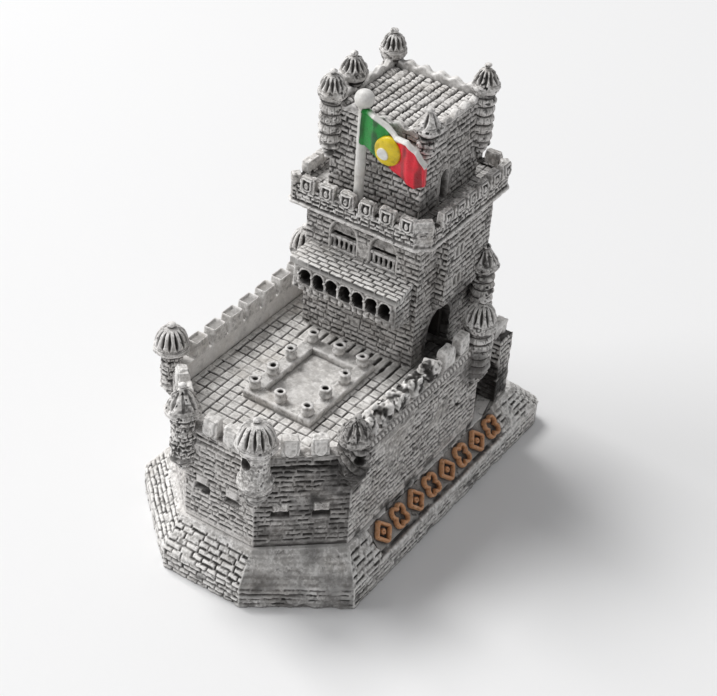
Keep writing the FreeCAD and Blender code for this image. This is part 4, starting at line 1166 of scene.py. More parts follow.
def make_turret(name, node_name, points=None, kind="rings", rings=3, ribs=12, around=140, worn=0.0, cone=0.0,
                hole=None):
    """Watch turret with a ribbed dome, flared rim, worked shaft and corbelled foot.

    worn: roughness of the casting; cone: 0 round dome, 1 pointed; hole: angle of a lookout hole.
    """
    centre, foot, rim, top, rim_r, shaft_r = turret_sizes(node_name, points)
    foot -= 2.4 if kind == "bulge" else 0.0
    seed = int(abs(centre[0]) * 13 + abs(centre[1]) * 7 + top)

    def shape(theta, z, r):
        p = on_circle(centre, theta, r, z)
        dr = rough(p, seed) * 1.3 + (0.10 + worn * 0.26) * noise(p, 1.5, seed + 3)
        dr = dr + worn * 0.12 * noise(p, 0.6, seed + 5)
        wash = 0.75 * smooth(0.25, 0.7, noise(p, 1.1, seed + 4) + 0.2 * noise(p, 0.4, seed + 6))
        wash = wash * (0.4 + 0.6 * min(1, worn + 0.3))
        h = (z - rim - 0.3) / (top - rim - 1.5)
        dome = smooth(0.02, 0.12, h) * smooth(1.0, 0.90, h)
        wave = np.abs(np.sin(theta * ribs / 2 + 0.4 + 0.20 * noise(p, 3.0, seed)))
        near = wave * 2 * r / ribs
        spread = np.sin(np.pi * np.clip(h, 0, 1) ** 0.9) ** 1.1
        dome = dome * smooth(0.06, 0.22, h) * smooth(0.97, 0.80, h)
        near = near + 0.04 * noise(p, 0.6, seed + 1)
        groove = smooth(0.03 + 0.44 * spread, 0.01 + 0.20 * spread, near) * dome
        groove = groove * (1 - 0.25 * min(1, worn)) * (0.72 if kind == "courses" and worn > 0.5 else 1.0)
        dr = dr - 0.80 * groove * spread + 0.16 * dome * (1 - groove)
        wash = np.maximum(wash * (1 - 0.8 * dome * (worn < 0.5)), groove)
        # painted shadow under the flared rim
        under = smooth(1.0, 0.3, np.abs(z - (rim - 1.7)))
        wash = np.maximum(wash, 0.95 * under * smooth(-0.7, 0.2, noise(p, 1.6, seed + 7)))
        lip = smooth(1.15, 0.75, np.abs(z - rim + 0.45))
        dr = dr + lip * (0.22 + 0.24 * noise(p, 1.3, seed + 2))
        wash = wash * (1 - 0.75 * lip)
        shaft = smooth(foot + 4.2, foot + 4.8, z) * smooth(rim - 1.1, rim - 1.7, z)
        if kind == "rope":
            twist = np.abs(np.sin(theta * 3 + (z - foot) * 1.15))
            dr = dr + shaft * (0.75 * twist - 0.45)
            wash = np.maximum(wash, shaft * smooth(0.50, 0.15, twist))
        elif kind in ("courses", "plain", "bulge"):
            hh, ww = coursed(theta * shaft_r, z, p, seed, upright=0.5, course=1.25, stone=2.2, depth=0.32)
            amount = shaft * (0.25 if kind == "bulge" else 0.9)
            dr = dr + hh * amount
            wash = np.maximum(wash, ww * amount)
        if kind == "rings":
            phase = np.clip((z - foot - CORBEL) / (rim - NECK - foot - CORBEL), 0, 1) * (rings + 0.5)
            valley = smooth(0.50, 0.12, np.abs(np.sin(np.pi * phase)))
            ticks = smooth(0.35, 0.1, np.abs(np.sin(theta * 5 + 2.3 * np.floor(phase)))) * 0.5
            dr = dr - 0.18 * shaft * ticks
            wash = np.maximum(wash, shaft * np.maximum(valley * 0.9, ticks * 0.8))
        if hole is not None:
            from_hole = np.hypot(np.angle(np.exp(1j * (theta - hole))) * r, z - rim + HOLE_DROP)
            dr = dr - 1.7 * smooth(1.50, 1.05, from_hole)
            # dark wash and painted shade inside the lookout hole
            wash = np.maximum(wash, smooth(1.75, 1.45, from_hole))
        specks = smooth(0.40, 0.60, 0.75 * noise(p, 0.8, seed + 11) + 0.6 * noise(p, 0.4, seed + 12))
        specks = specks * min(1.0, 0.45 + worn) * (1 - 0.6 * dome * (worn < 0.5))
        dr = dr - 0.15 * specks
        wash = np.maximum(wash, 0.95 * specks)
        corbel = np.clip((z - foot) / CORBEL, 0, 1)
        steps = smooth(0.55, 0.95, -np.sin(corbel * 6 * np.pi - 1.2)) * smooth(foot + 4.7, foot + 4.3, z)
        craggy = smooth(foot + 5.0, foot + 3.5, z)
        dr = dr + craggy * 0.30 * noise(p, 1.0, seed + 8)
        pitted = craggy * 0.8 * smooth(0.15, 0.6, noise(p, 0.9, seed + 9))
        wash = np.maximum(wash, np.maximum(0.9 * steps, pitted))
        return dr, np.clip(wash, 0, 1)

    profile = turret_profile(foot, rim, top, rim_r, shaft_r, kind, rings, cone)
    return turned(name, profile, centre, around, shape)


for node_name, style in STYLES.items():
    piece = make_turret("carved_" + node_name, node_name, **style)
    # the rope turret on the front-right corner takes the darkest resin all over
    place(piece, "turret_resin", DARKEST_RESIN if style["kind"] == "rope" else CROWN, node_name)
bartizan_vertices = 400      # solids of the node with fewer vertices are left out
for number, points in enumerate(islands("rear_bartizans")):
    if len(points) < bartizan_vertices:
        continue
    piece = make_turret("carved_bartizan_%d" % number, "rear_bartizans", points, "rings", 4, 11, 140, 0.7, 0.5)
    place(piece, "turret_resin", CROWN, *first_only(number, "rear_bartizans"))

# ------------------------------------------------------------------ lower tower
keep_low, keep_high = span("keep_wall_front")
loggia_low, loggia_high = span("loggia_roof")
bal_low, bal_high = span("window_balustrades")
arcade_low, arcade_high = span("loggia_arcade")
floor_low, floor_high = span("loggia_floor")
niches = [float((p.min(0)[0] + p.max(0)[0]) / 2) for p in islands("window_balustrades")]
niche_half = float(np.ptp(islands("window_balustrades")[0][:, 0]) / 2)
x0, x1 = keep_low[0], keep_high[0]
keep_plan = rectangle((x0, keep_low[1]), (x1, span("keep_wall_rear")[1][1]))
right_wall = node_points("keep_wall_right")
jambs = sorted({round(float(y), 2) for x, y, z in right_wall if z < right_wall[:, 2].min() + 0.05})[1:-1]
archway_y = (jambs[0] + jambs[-1]) / 2
archway_half = (jambs[-1] - jambs[0]) / 2 + 0.3
plaster_from, plaster_to = (54.5, 56.0), (61.5, 63.5)    # heights where the front's plaster starts and ends
rear_windows, rear_sill, rear_spring, rear_half = (-6.0, 6.0), 52.0, 55.5, 1.4


def keep_surface(face, s, t, p, width):
    """Coursed stone; window niches in front, a deep archway on +X and slots behind, all darkened inside with
    dark wash and painted shade, with painted shade on the wall round the foot of the archway.
    """
    h, w = coursed(s, p[..., 2], p, 20 + face, upright=0.45, worn=0.4)
    z = p[..., 2]
    if face == 0:
        plaster = smooth(0.1, 0.5, noise(p, 3.0, 25) + 0.55 - np.abs(p[..., 0] - 0.2) / 2.5)
        plaster = plaster * smooth(plaster_to[1], plaster_to[0], z) * smooth(*plaster_from, z)
        h, w = lay(h, w, plaster, rough(p, 26) * 1.5)
        for centre in niches:
            x = np.abs(p[..., 0] - centre)
            spring = bal_low[2] + 4.5
            edge = arch_edge(x, z, spring, niche_half)
            inside = smooth(0.12, -0.12, edge) * smooth(-0.1, 0.1, z - bal_low[2])
            frame_band = smooth(0.75, 0.55, edge) * smooth(bal_low[2] - 0.8, bal_low[2] - 0.5, z) * (1 - inside)
            h, w = lay(h, w, frame_band, 0.05)
            deep = smooth(spring + 0.15, spring - 0.25, z + 0.06 * noise(p, 0.8, 24))
            h, w = lay(h, w, inside, -(0.75 + 1.15 * deep), np.maximum(0.16, deep))
    if face == 1:
        y = np.abs(p[..., 1] - archway_y)
        spring = terrace_z + 6.6
        edge = arch_edge(y, z, spring, archway_half)
        inside = smooth(0.15, -0.15, edge)
        ring = smooth(1.5, 1.1, edge) * (1 - inside) * (z > spring)
        h = h * (1 - inside) * (1 - ring) - 4.8 * inside + 0.15 * ring
        w = np.maximum(w * (1 - ring), smooth(0.5, 0.1, edge))
        # painted shade round the foot of the archway
        gloom = smooth(3.5, 0.5, edge) * smooth(terrace_z + 7.0, terrace_z, z)
        w = np.maximum(w, 0.6 * gloom)
    if face == 2:
        for centre in rear_windows:
            edge = arch_edge(np.abs(p[..., 0] - centre), z, rear_spring, rear_half)
            inside = smooth(0.12, -0.12, edge) * smooth(-0.1, 0.1, z - rear_sill)
            h = h * (1 - inside) - 1.1 * inside
            w = np.maximum(w * (1 - inside), inside * 0.8)
    return h, w


for piece, source in zip(
    facets(["keep_stone_front", "keep_stone_right", "keep_stone_rear", "keep_stone_left"],
           [(keep_plan, terrace_z - 1.0), (keep_plan, keep_high[2])], keep_surface, 6.0),
    ("keep_wall_front", "keep_wall_right", "keep_wall_rear", "keep_wall_left"),
):
    place(piece, "tower_resin", TOWER, source)

foot_box = rectangle(*span("keep_foot"))


def plain_courses(seed, upright=0.5, worn=0.4):
    """Surface function with coursed stone and nothing else."""
    def surface(face, s, t, p, width):
        return coursed(s, p[..., 2], p, seed + face, upright=upright, worn=worn)
    return surface


place(tube("keep_foot_stone", [(foot_box, skirt_top), (foot_box, terrace_z - 1.0)], plain_courses(90), 0.26),
      "tower_resin", TOWER, "keep_foot")

for number, points in enumerate(islands("rear_piers")):
    low, high = points.min(0), points.max(0)
    top = float(sorted({round(float(z), 1) for z in points[:, 2]})[1])
    levels = [(rectangle(low, high), low[2]), (rectangle(low, high), top)]
    piece = tube("pier_stone_%d" % number, levels, plain_courses(94 + 5 * number), 0.24)
    place(piece, "bastion_resin", WALL, *first_only(number, "rear_piers"))
    centre = np.array([(low[0] + high[0]) / 2, low[1] + 2.8, (top + high[2]) / 2])
    block = crenel(centre, (2.7, 1.35, (high[2] - top) / 2 + 0.1), math.pi / 2, 300 + number)
    place(stack("pier_crest_%d" % number, [block]), "merlon_resin", PALE)
for number, points in enumerate(islands("rear_link_walls")):
    low, high = points.min(0), points.max(0)
    levels = [(rectangle(low, high), low[2]), (rectangle(low, high), high[2])]
    piece = tube("link_stone_%d" % number, levels, plain_courses(97 + 5 * number), 0.26)
    place(piece, "bastion_resin", TOWER, *first_only(number, "rear_link_walls"))

bay_sills, bay_window_y = (51.6, 59.6), (20.6, 22.4)     # two storeys of paired windows
bay_spring, bay_half = 1.9, 0.55
for name in ("side_bay_right", "side_bay_left"):
    low, high = span(name)
    side = 1 if high[0] > 0 else -1
    wall_x = x1 if side > 0 else x0
    outer = high[0] if side > 0 else low[0]
    windows = [(z, y) for z in bay_sills for y in bay_window_y]

    def bay_surface(face, s, t, p, width, outer=outer):
        h, w = coursed(s, p[..., 2], p, 60 + face, upright=0.6, worn=0.6)
        out = smooth(0.6, 0.2, np.abs(p[..., 0] - outer))
        for z, y in windows:
            edge = arch_edge(np.abs(p[..., 1] - y), p[..., 2], z + bay_spring, bay_half)
            inside = smooth(0.12, -0.08, edge) * smooth(-0.1, 0.1, p[..., 2] - z) * out
            surround = smooth(0.75, 0.5, edge) * smooth(z - 0.8, z - 0.4, p[..., 2]) * out * (1 - inside)
            h, w = lay(h, w, surround, 0.12)
            h = h * (1 - inside) - 0.7 * inside
            # dark wash and painted shade inside each window
            w = np.maximum(w, inside)
        return h, w

    inner_x = wall_x - side * 1.0

    def bay_plan(reach):
        a, b = sorted((inner_x, reach))
        return rectangle((a, low[1]), (b, high[1]))

    levels = [(bay_plan(wall_x + side * 0.1), low[2]), (bay_plan(outer), low[2] + 2.2),
              (bay_plan(outer), high[2])]
    place(tube(name.replace("side_bay", "bay_stone"), levels, bay_surface), "tower_resin", TOWER, name)


# ------------------------------------------------------------------ loggia
arch_gaps = 7
pitch = 3.62                                     # spacing of the arches
arch_x0 = 0.4 - (arch_gaps // 2) * pitch         # the middle arch is centred on X 0.4


def loggia_surface(face, s, t, p, width):
    """Arcade of round arches on small columns, a scalloped bead row below and rough stone ends; the openings
    are darkened with dark wash and painted shade, with a faint painted light low in each, and a painted shadow
    runs under the eave.
    """
    h = rough(p, 63) * 1.5 + 0.12 * noise(p, 1.2, 62)
    w = 0.55 * smooth(0.25, 0.75, noise(p, 1.0, 64))
    if face in (1, 3):
        hh, ww = coursed(s, p[..., 2], p, 69, upright=0.4, worn=0.1)
        h, w = h * 0.5 + hh, np.maximum(w, ww)
    if face == 0:
        x, z = p[..., 0], p[..., 2]
        k = np.clip(np.round((x - arch_x0) / pitch), 0, arch_gaps - 1)
        dx = np.abs(x - (arch_x0 + k * pitch))
        sill = arcade_low[2] - 0.2
        spring = sill + 2.6
        wobble = 0.10 * noise(p, 0.8, 61)
        splay = dx + 0.35 * smooth(0.8, 0.0, z - sill)
        edge = np.where(z > spring, np.hypot(dx, (z - spring) * 1.02), splay) - 1.27 + wobble
        opening = smooth(0.14, -0.12, edge) * smooth(-0.12, 0.12, z - sill)
        mould = smooth(0.50, 0.20, np.abs(edge - 0.30)) * (z > spring)
        h = h + 0.30 * mould
        column = smooth(0.60, 0.25, np.abs(dx - pitch / 2)) * smooth(sill - 0.1, sill + 0.2, z)
        column = column * (z < spring + 0.3)
        cap = smooth(0.35, 0.1, np.abs(z - spring + 0.1)) + smooth(0.35, 0.1, np.abs(z - sill - 0.25))
        h = h + column * (0.40 + 0.30 * cap)
        groove = smooth(0.30, 0.10, np.abs(dx - pitch / 2 + 0.62)) * (z > sill) * (z < spring)
        w = np.maximum(w, 0.7 * groove)
        beads = np.abs(np.sin(np.pi * x / 1.8 + 0.9 * noise(p, 2.4, 60)))
        row = smooth(0.95, 0.30, np.abs(z - floor_low[2] - 2.0 + 0.45 * noise(p, 1.9, 59)))
        h = h + row * (0.55 * beads - 0.15)
        w = np.maximum(w, row * smooth(0.45, 0.10, beads) * 0.9)
        band = smooth(0.40, 0.15, np.abs(z - sill + 0.75))
        w = np.maximum(w, band * 0.6 * smooth(-0.4, 0.4, noise(p, 1.1, 58)))
        # painted shadow under the roof's eave
        eave = smooth(0.35, 0.1, np.abs(z - arcade_high[2] + 0.25))
        w = np.maximum(w, 0.8 * eave)
        h = h * (1 - opening) - 3.7 * opening
        # painted shade in the openings, with a faint painted light low on one side of each
        lit = smooth(sill + 1.6, sill, z) * smooth(0.6, -0.9, x - (arch_x0 + k * pitch))
        dark = smooth(0.34, 0.20, edge) * smooth(-0.34, -0.20, z - sill)
        w = np.maximum(w * (1 - opening), dark * (1 - 0.06 * lit))
    return h, w


front_y, wall_y = arcade_low[1], keep_low[1] + 0.6
lx0, lx1 = floor_low[0], floor_high[0]
box_plan = rectangle((lx0, front_y), (lx1, wall_y))
low_plan = rectangle((lx0 + 0.2, front_y + 5.2), (lx1 - 0.2, wall_y))
under_plan = rectangle((lx0, front_y + 0.2), (lx1, wall_y))
levels = [(low_plan, floor_low[2]), (under_plan, floor_low[2] + 1.4), (box_plan, floor_low[2] + 1.7),
          (box_plan, arcade_high[2])]
arcade = tube("loggia_stone", levels, loggia_surface, 0.17)
place(arcade, "loggia_resin", CROWN, "loggia_arcade", "loggia_floor", "loggia_cheeks")


def roof_panel():
    """Lean-to roof of overlapping stone slates."""
    a = np.array([loggia_low[0], loggia_low[1], loggia_low[2] + 0.95])
    b = np.array([loggia_high[0], loggia_low[1], loggia_low[2] + 0.95])
    top = loggia_high[2]
    c = np.array([loggia_high[0] - 0.5, keep_low[1] + 0.5, top])
    d = np.array([loggia_low[0] + 0.5, keep_low[1] + 0.5, top])
    columns, rows = 210, 60
    f, g = np.meshgrid(np.linspace(0, 1, columns), np.linspace(0, 1, rows))
    grid = ((a * (1 - f[..., None]) + b * f[..., None]) * (1 - g[..., None])
            + (d * (1 - f[..., None]) + c * f[..., None]) * g[..., None])
    run = np.linalg.norm(d - a) * g
    across = grid[..., 0]
    course = 1.20
    row = np.floor(run / course + 1e-6)
    up = run / course - row
    u = across / 3.0 + 0.5 * (row % 2) + 0.2 * scatter(row, 0, 0, 66) + 0.08 * np.sin(across * 1.3 + row)
    column = np.floor(u)
    ragged = 0.07 * noise(grid, 0.8, 65)
    edge = np.minimum(u - column, 1 - u + column) * 3.0 + ragged
    slot_line = smooth(0.34, 0.10, np.minimum(up, 1.12 - up) * course + ragged) * smooth(0.05, 0.30, edge)
    upright = smooth(0.30, 0.10, edge) * 0.75
    joint = np.maximum(slot_line, upright)
    joint = joint * (0.5 + 0.5 * smooth(-12.0, -2.0, across + 4 * noise(grid, 4.0, 64)))
    relief = 0.30 * (1 - up) - 0.45 * joint + 0.14 * scatter(row, column, 1, 67) + rough(grid, 68)
    normal = np.cross(b - a, d - a)
    normal /= np.linalg.norm(normal)
    points = grid + normal * relief[..., None]
    return slab_of("loggia_slates", points, grid - np.array([0, 0, 1.2]), smooth(0.15, 0.8, joint))


place(roof_panel(), "roof_resin", PALE, "loggia_roof")

parts = []
z0, z1 = bal_low[2], bal_high[2]
for centre in niches:
    for z in (z0 + 0.28, z1 - 0.35):
        p, q, d = block_points(np.array([niche_half, 0.55, 0.38]), (40, 6, 5), 0.2)
        world = p + np.array([centre, keep_low[1] + 0.55, z])
        wash = 0.15 + 0.4 * smooth(0.2, 0.7, noise(world, 0.8, 70))
        parts.append((world + d * (0.12 * noise(world, 0.9, 71))[:, None], q, wash))
    for k in range(5):
        x = centre - niche_half + 0.75 + k * (2 * niche_half - 1.5) / 4
        p, q, d = block_points(np.array([0.34, 0.32, (z1 - z0) / 2]), (6, 6, 20), 0.15)
        p[:, 0] *= 1 - 0.25 * np.cos(p[:, 2] * 2.4)
        world = p + np.array([x, keep_low[1] + 0.75, (z0 + z1) / 2])
        wash = 0.25 + 0.35 * smooth(0.2, 0.7, noise(world, 0.7, 70))
        parts.append((world + d * (0.09 * noise(world, 0.8, 72))[:, None], q, wash))
place(stack("niche_balusters", parts), "loggia_resin", CROWN, "window_balustrades")

# ------------------------------------------------------------------ gallery
gal_low, gal_high = span("gallery_platform")
gallery_mid = (gal_low[:2] + gal_high[:2]) / 2
coping_z = span("gallery_parapets_ends")[1][2]
gallery_plan = outline(["gallery_platform"], gal_low[2])
slab_plan = inset(gallery_plan, 0.5)
short_side = 6.0     # the cut corners of the gallery are shorter than this


def gallery_surface(face, s, t, p, width):
    """Rough band of small stones above a clean lip moulding."""
    h, w = coursed(s, p[..., 2], p, 83 + face, upright=0.6, course=1.0, stone=2.2, depth=0.30, worn=0.1)
    lip = smooth(gal_low[2] + 1.25, gal_low[2] + 0.95, p[..., 2])
    h, w = lay(h, w, lip, rough(p, 84))
    under = smooth(0.3, 0.1, np.abs(p[..., 2] - gal_low[2] - 1.15))
    w = np.maximum(w, under * 0.75)
    if width < short_side:
        h = h * 0.35
        w = w * 0.4
    lumps = noise(p, 1.3, 85) + 0.4 * noise(p, 0.6, 86)
    return h + 0.18 * lumps * (1 - lip), np.maximum(w, 0.8 * smooth(0.35, 0.8, lumps) * (1 - lip))


levels = [(inset(gallery_plan, 0.35), gal_low[2]), (gallery_plan, gal_low[2] + 0.25),
          (gallery_plan, gal_low[2] + 0.75), (slab_plan, gal_low[2] + 1.05), (slab_plan, gal_high[2])]
place(tube("gallery_stone", levels, gallery_surface), "gallery_resin", CROWN, "gallery_platform")


def gallery_parapets():
    """Low wall round the gallery, wrapped over its top."""
    inner = inset(slab_plan, 1.6)
    levels = [(slab_plan, gal_high[2]), (slab_plan, coping_z), (inner, coping_z), (inner, gal_high[2])]
    *ring, _, starts = surfaced(levels, gallery_surface, STEP)
    total = ring[0].shape[1]
    ends = [face for face in range(8) if abs(slab_plan[face][1] - slab_plan[(face + 1) % 8][1]) < 0.1]
    groups = {"gallery_coping_" + side: [] for side in ("front", "rear", "right", "left")}
    for face in range(8):
        mid = (slab_plan[face] + slab_plan[(face + 1) % 8]) / 2
        if face in ends:
            key = "gallery_coping_front" if mid[1] < gallery_mid[1] else "gallery_coping_rear"
        else:
            key = "gallery_coping_right" if mid[0] > 0 else "gallery_coping_left"
        groups[key].append(face)
    for key, faces in groups.items():
        start_face = next(f for f in faces if (f - 1) % 8 not in faces)
        columns = []
        for k in range(len(faces)):
            columns += list(face_columns((start_face + k) % 8, starts, total)[:-1])
        columns.append((columns[-1] + 1) % total)
        owner = "gallery_parapets_ends" if len(faces) == 1 else "gallery_parapets_sides"
        place(wrapped(key, ring, columns), "gallery_resin", CROWN, owner)


gallery_parapets()

parts, left_parts = [], []
merlon_low, merlon_high = span("gallery_merlons")
for number, points in enumerate(islands("gallery_merlons")):
    low, high = points.min(0), points.max(0)
    centre = (low + high) / 2
    across = np.abs(centre[:2] - gallery_mid) / ((gal_high[:2] - gal_low[:2]) / 2)
    if across[1] > across[0]:
        angle = 0.0 if centre[1] < gallery_mid[1] else math.pi
    else:
        angle = math.pi / 2 if centre[0] > 0 else -math.pi / 2
    middle = np.array([centre[0], centre[1], (low[2] + high[2]) / 2 - 0.25])
    middle += np.array([math.sin(angle), -math.cos(angle), 0]) * 0.12
    half = (1.90, 0.98, (high[2] - low[2]) / 2 + 0.35)
    if centre[0] < gal_low[0] + 3:
        half = (2.45, 1.05, (high[2] - low[2]) / 2 + 0.1)
        spot = middle - np.array([0, 0, 0.45])
        left_parts.append(crenel(spot, half, angle, 500 + 3 * number, (30, 14, 28), 0.22, cap=0.14))
        continue
    spot = middle - np.array([0, 0, 0.30])
    parts.append(crenel(spot, half, angle, 500 + 3 * number, (30, 14, 32), 0.20, 2, 0.14))
for face in range(8):
    a, b = slab_plan[face], slab_plan[(face + 1) % 8]
    run = np.linalg.norm(b - a)
    if run >= short_side:
        continue
    inward = np.array([-(b - a)[1], (b - a)[0]]) / run
    spot = (a + b) / 2 + 1.0 * inward
    middle = np.array([spot[0], spot[1], (merlon_low[2] + merlon_high[2]) / 2 - 0.75])
    half = (min(2.3, 0.48 * run + 0.45), 1.10, 1.30)
    angle = math.atan2((b - a)[1], (b - a)[0])
    parts.append(crenel(middle, half, angle, 590 + face, (26, 14, 22), 0.12, cap=0.10))
place(stack("gallery_crenels", parts), "merlon_resin", CROWN, "gallery_merlons")
# the left crenels take the paler resin: painted bounce light on their inner faces
place(stack("gallery_crenels_left", left_parts), "merlon_resin", PALE)

# ------------------------------------------------------------------ upper tower
up_low, up_high = span("upper_tower_body")
roof_low, roof_high = span("roof_deck")
upper_plan = rectangle(up_low, up_high)
door_y, door_spring, door_half = 22.0, up_low[2] + 6.9, 1.5


def upper_surface(face, s, t, p, width):
    """Coursed stone with a narrow door on the +X face."""
    h, w = coursed(s, p[..., 2], p, 26 + face, upright=0.6, worn=0.6)
    if face == 1:
        edge = arch_edge(np.abs(p[..., 1] - door_y), p[..., 2], door_spring, door_half)
        inside = smooth(0.12, -0.12, edge)
        jamb = smooth(1.6, 1.2, edge) * (1 - inside)
        h = h * (1 - inside) * (1 - jamb) - 1.7 * inside
        # dark wash and painted shade inside the door
        w = np.maximum(w * (1 - inside) * (1 - jamb), inside)
    return h, w


place(tube("upper_stone", [(upper_plan, up_low[2] - 0.3), (upper_plan, up_high[2] + 0.6)], upper_surface),
      "tower_resin", TOWER, "upper_tower_body")


def gallery_paving():
    """Walkway round the upper tower, paved with small tiles; its middle runs under the tower."""
    floor_z = float(up_low[2])
    xs = np.arange(gal_low[0] + 1.3, gal_high[0] - 1.25, 0.17)
    ys = np.arange(gal_low[1] + 1.3, gal_high[1] - 1.25, 0.17)
    grid = np.zeros((len(ys), len(xs), 3))
    grid[..., 0], grid[..., 1] = np.meshgrid(xs, ys)
    grid[..., 2] = floor_z + 0.22
    tile = 2.0
    x = (grid[..., 0] + 0.1 * noise(grid, 4.0, 141)) / tile
    y = (grid[..., 1] + 0.1 * noise(grid, 4.0, 142)) / tile
    from_joint = np.minimum(np.abs(x - np.round(x)), np.abs(y - np.round(y))) * tile
    joint = smooth(0.30, 0.10, from_joint + 0.06 * noise(grid, 0.7, 143))
    joint = joint * smooth(-0.6, 0.2, noise(grid, 5.0, 144) + 0.2)
    relief = rough(grid, 145) + 0.06 * noise(grid, 1.1, 146) - 0.20 * joint
    wash = np.maximum(0.85 * joint, 0.25 + 0.30 * noise(grid, 2.6, 147))
    return flat_slab("gallery_paving", grid, relief, floor_z - 0.3, wash)


place(gallery_paving(), "gallery_resin", CROWN)


def roof_tiles():
    """Roof of half-round tiles in rows along Y."""
    x = np.linspace(up_low[0] + 0.6, up_high[0] - 0.6, 170)
    y = np.linspace(up_low[1] + 0.6, up_high[1] - 0.6, 150)
    grid = np.zeros((len(y), len(x), 3))
    grid[..., 0] = x
    grid[..., 1] = y[:, None]
    grid[..., 2] = roof_high[2] - 0.35
    rows = 10
    u = (grid[..., 0] - up_low[0] - 1.2 + 0.1 * noise(grid, 3.0, 91)) / ((up_high[0] - up_low[0] - 2.4) / rows)
    row = np.floor(u)
    f = np.abs(u - row - 0.5) * 2
    v = grid[..., 1] / 1.45 + 0.5 * (row % 2) + 0.3 * scatter(row, 0, 0, 92) + 0.15 * noise(grid, 2.0, 90)
    tile = np.floor(v)
    lap = v - tile
    ragged = 0.10 * noise(grid, 0.8, 89)
    ridge = 0.50 * np.sqrt(np.clip(1 - (f * 0.98) ** 2, 0, 1))
    ends = 0.95 * smooth(0.30, 0.08, np.minimum(lap, 1 - lap) + ragged) * smooth(0.95, 0.7, f)
    joint = np.maximum(smooth(0.58, 0.90, f + ragged), ends)
    joint = joint * smooth(-0.7, 0.2, noise(grid, 3.5, 88) + 0.3)
    relief = ridge + 0.34 * lap - 0.46 * joint + 1.6 * rough(grid, 93) + 0.20 * scatter(row, tile, 1, 94)
    pits = smooth(0.6, 0.9, noise(grid, 0.8, 87))
    wash = np.maximum(smooth(0.2, 0.9, joint), 0.8 * pits)
    return flat_slab("roof_tiles", grid, relief - 0.25, roof_low[2] + 0.2, wash)


place(roof_tiles(), "roof_resin", ROOF, "roof_deck")

for number, points in enumerate(islands("roof_kerbs")):
    low, high = points.min(0), points.max(0)
    half = (high - low) / 2
    divisions = tuple(int(max(5, h * 2 / 0.24)) for h in half)
    p, q, d = block_points(half + np.array([0.1, 0.1, 0.25]), divisions, 0.3)
    world = p + (low + high) / 2 - np.array([0, 0, 0.2])
    length_axis = 0 if half[0] > half[1] else 1
    wave = 0.45 * np.sin(world[:, length_axis] * 1.55) + 0.3 * noise(world, 2.2, 95)
    world[:, 2] += wave * smooth(low[2] + 0.6, high[2], world[:, 2])
    world = world + d * (0.16 * noise(world, 1.4, 96) + 0.07 * noise(world, 0.5, 97))[:, None]
    wash = 0.5 * smooth(0.3, 0.8, noise(world, 1.3, 98))
    piece = stack("roof_edge_%d" % number, [(world, q, wash)])
    place(piece, "roof_resin", PALE if number % 2 else CROWN, *first_only(number, "roof_kerbs"))

# ------------------------------------------------------------------ flag and pole
pole_low, pole_high = span("flagpole")
ball_r = float((pole_high[0] - pole_low[0]) / 2)
pole_axis = (pole_low[:2] + pole_high[:2]) / 2
pole_r = 1.15
ball_z = float(pole_high[2]) - ball_r
heights = np.linspace(pole_low[2] - 0.3, ball_z - ball_r * 0.84, 70)
profile = [(0, heights[0])] + [(pole_r * (1 + 0.03 * math.sin(z * 0.8)), z) for z in heights]
for angle in np.linspace(-1.0, math.pi / 2, 25)[1:-1]:
    profile.append((ball_r * math.cos(angle), ball_z + ball_r * math.sin(angle)))
profile.append((0, ball_z + ball_r))


def pole_shape(theta, z, r):
    """Hand-finished unevenness of the pole and ball."""
    p = on_circle(pole_axis, theta, r, z)
    ball = smooth(ball_z - ball_r, ball_z - ball_r * 0.5, z)
    return (0.06 + 0.10 * ball) * noise(p, 1.6, 110), 0.2 * smooth(0.5, 0.9, noise(p, 1.2, 111))


place(turned("pole_and_ball", profile, pole_axis, 64, pole_shape), "pole_resin", POLE, "flagpole")

flag_points = node_points("flag")
flag_low, flag_high = span("flag")


def flag_edges(x):
    """Lower edge, upper edge and mid-plane of the flag at given X, read from the CAD solid's edges."""
    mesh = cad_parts["flag"].data
    ends = np.array([[e.vertices[0], e.vertices[1]] for e in mesh.edges])
    a, b = flag_points[ends[:, 0]], flag_points[ends[:, 1]]
    found = []
    for value in np.atleast_1d(x):
        value = min(max(value, flag_low[0] + 0.02), flag_high[0] - 0.02)
        over = (a[:, 0] - value) * (b[:, 0] - value) < 0
        f = ((value - a[over, 0]) / (b[over, 0] - a[over, 0]))[:, None]
        hit = a[over] + (b[over] - a[over]) * f
        found.append((hit[:, 2].min(), hit[:, 2].max(), (hit[:, 1].min() + hit[:, 1].max()) / 2))
    return np.array(found).T


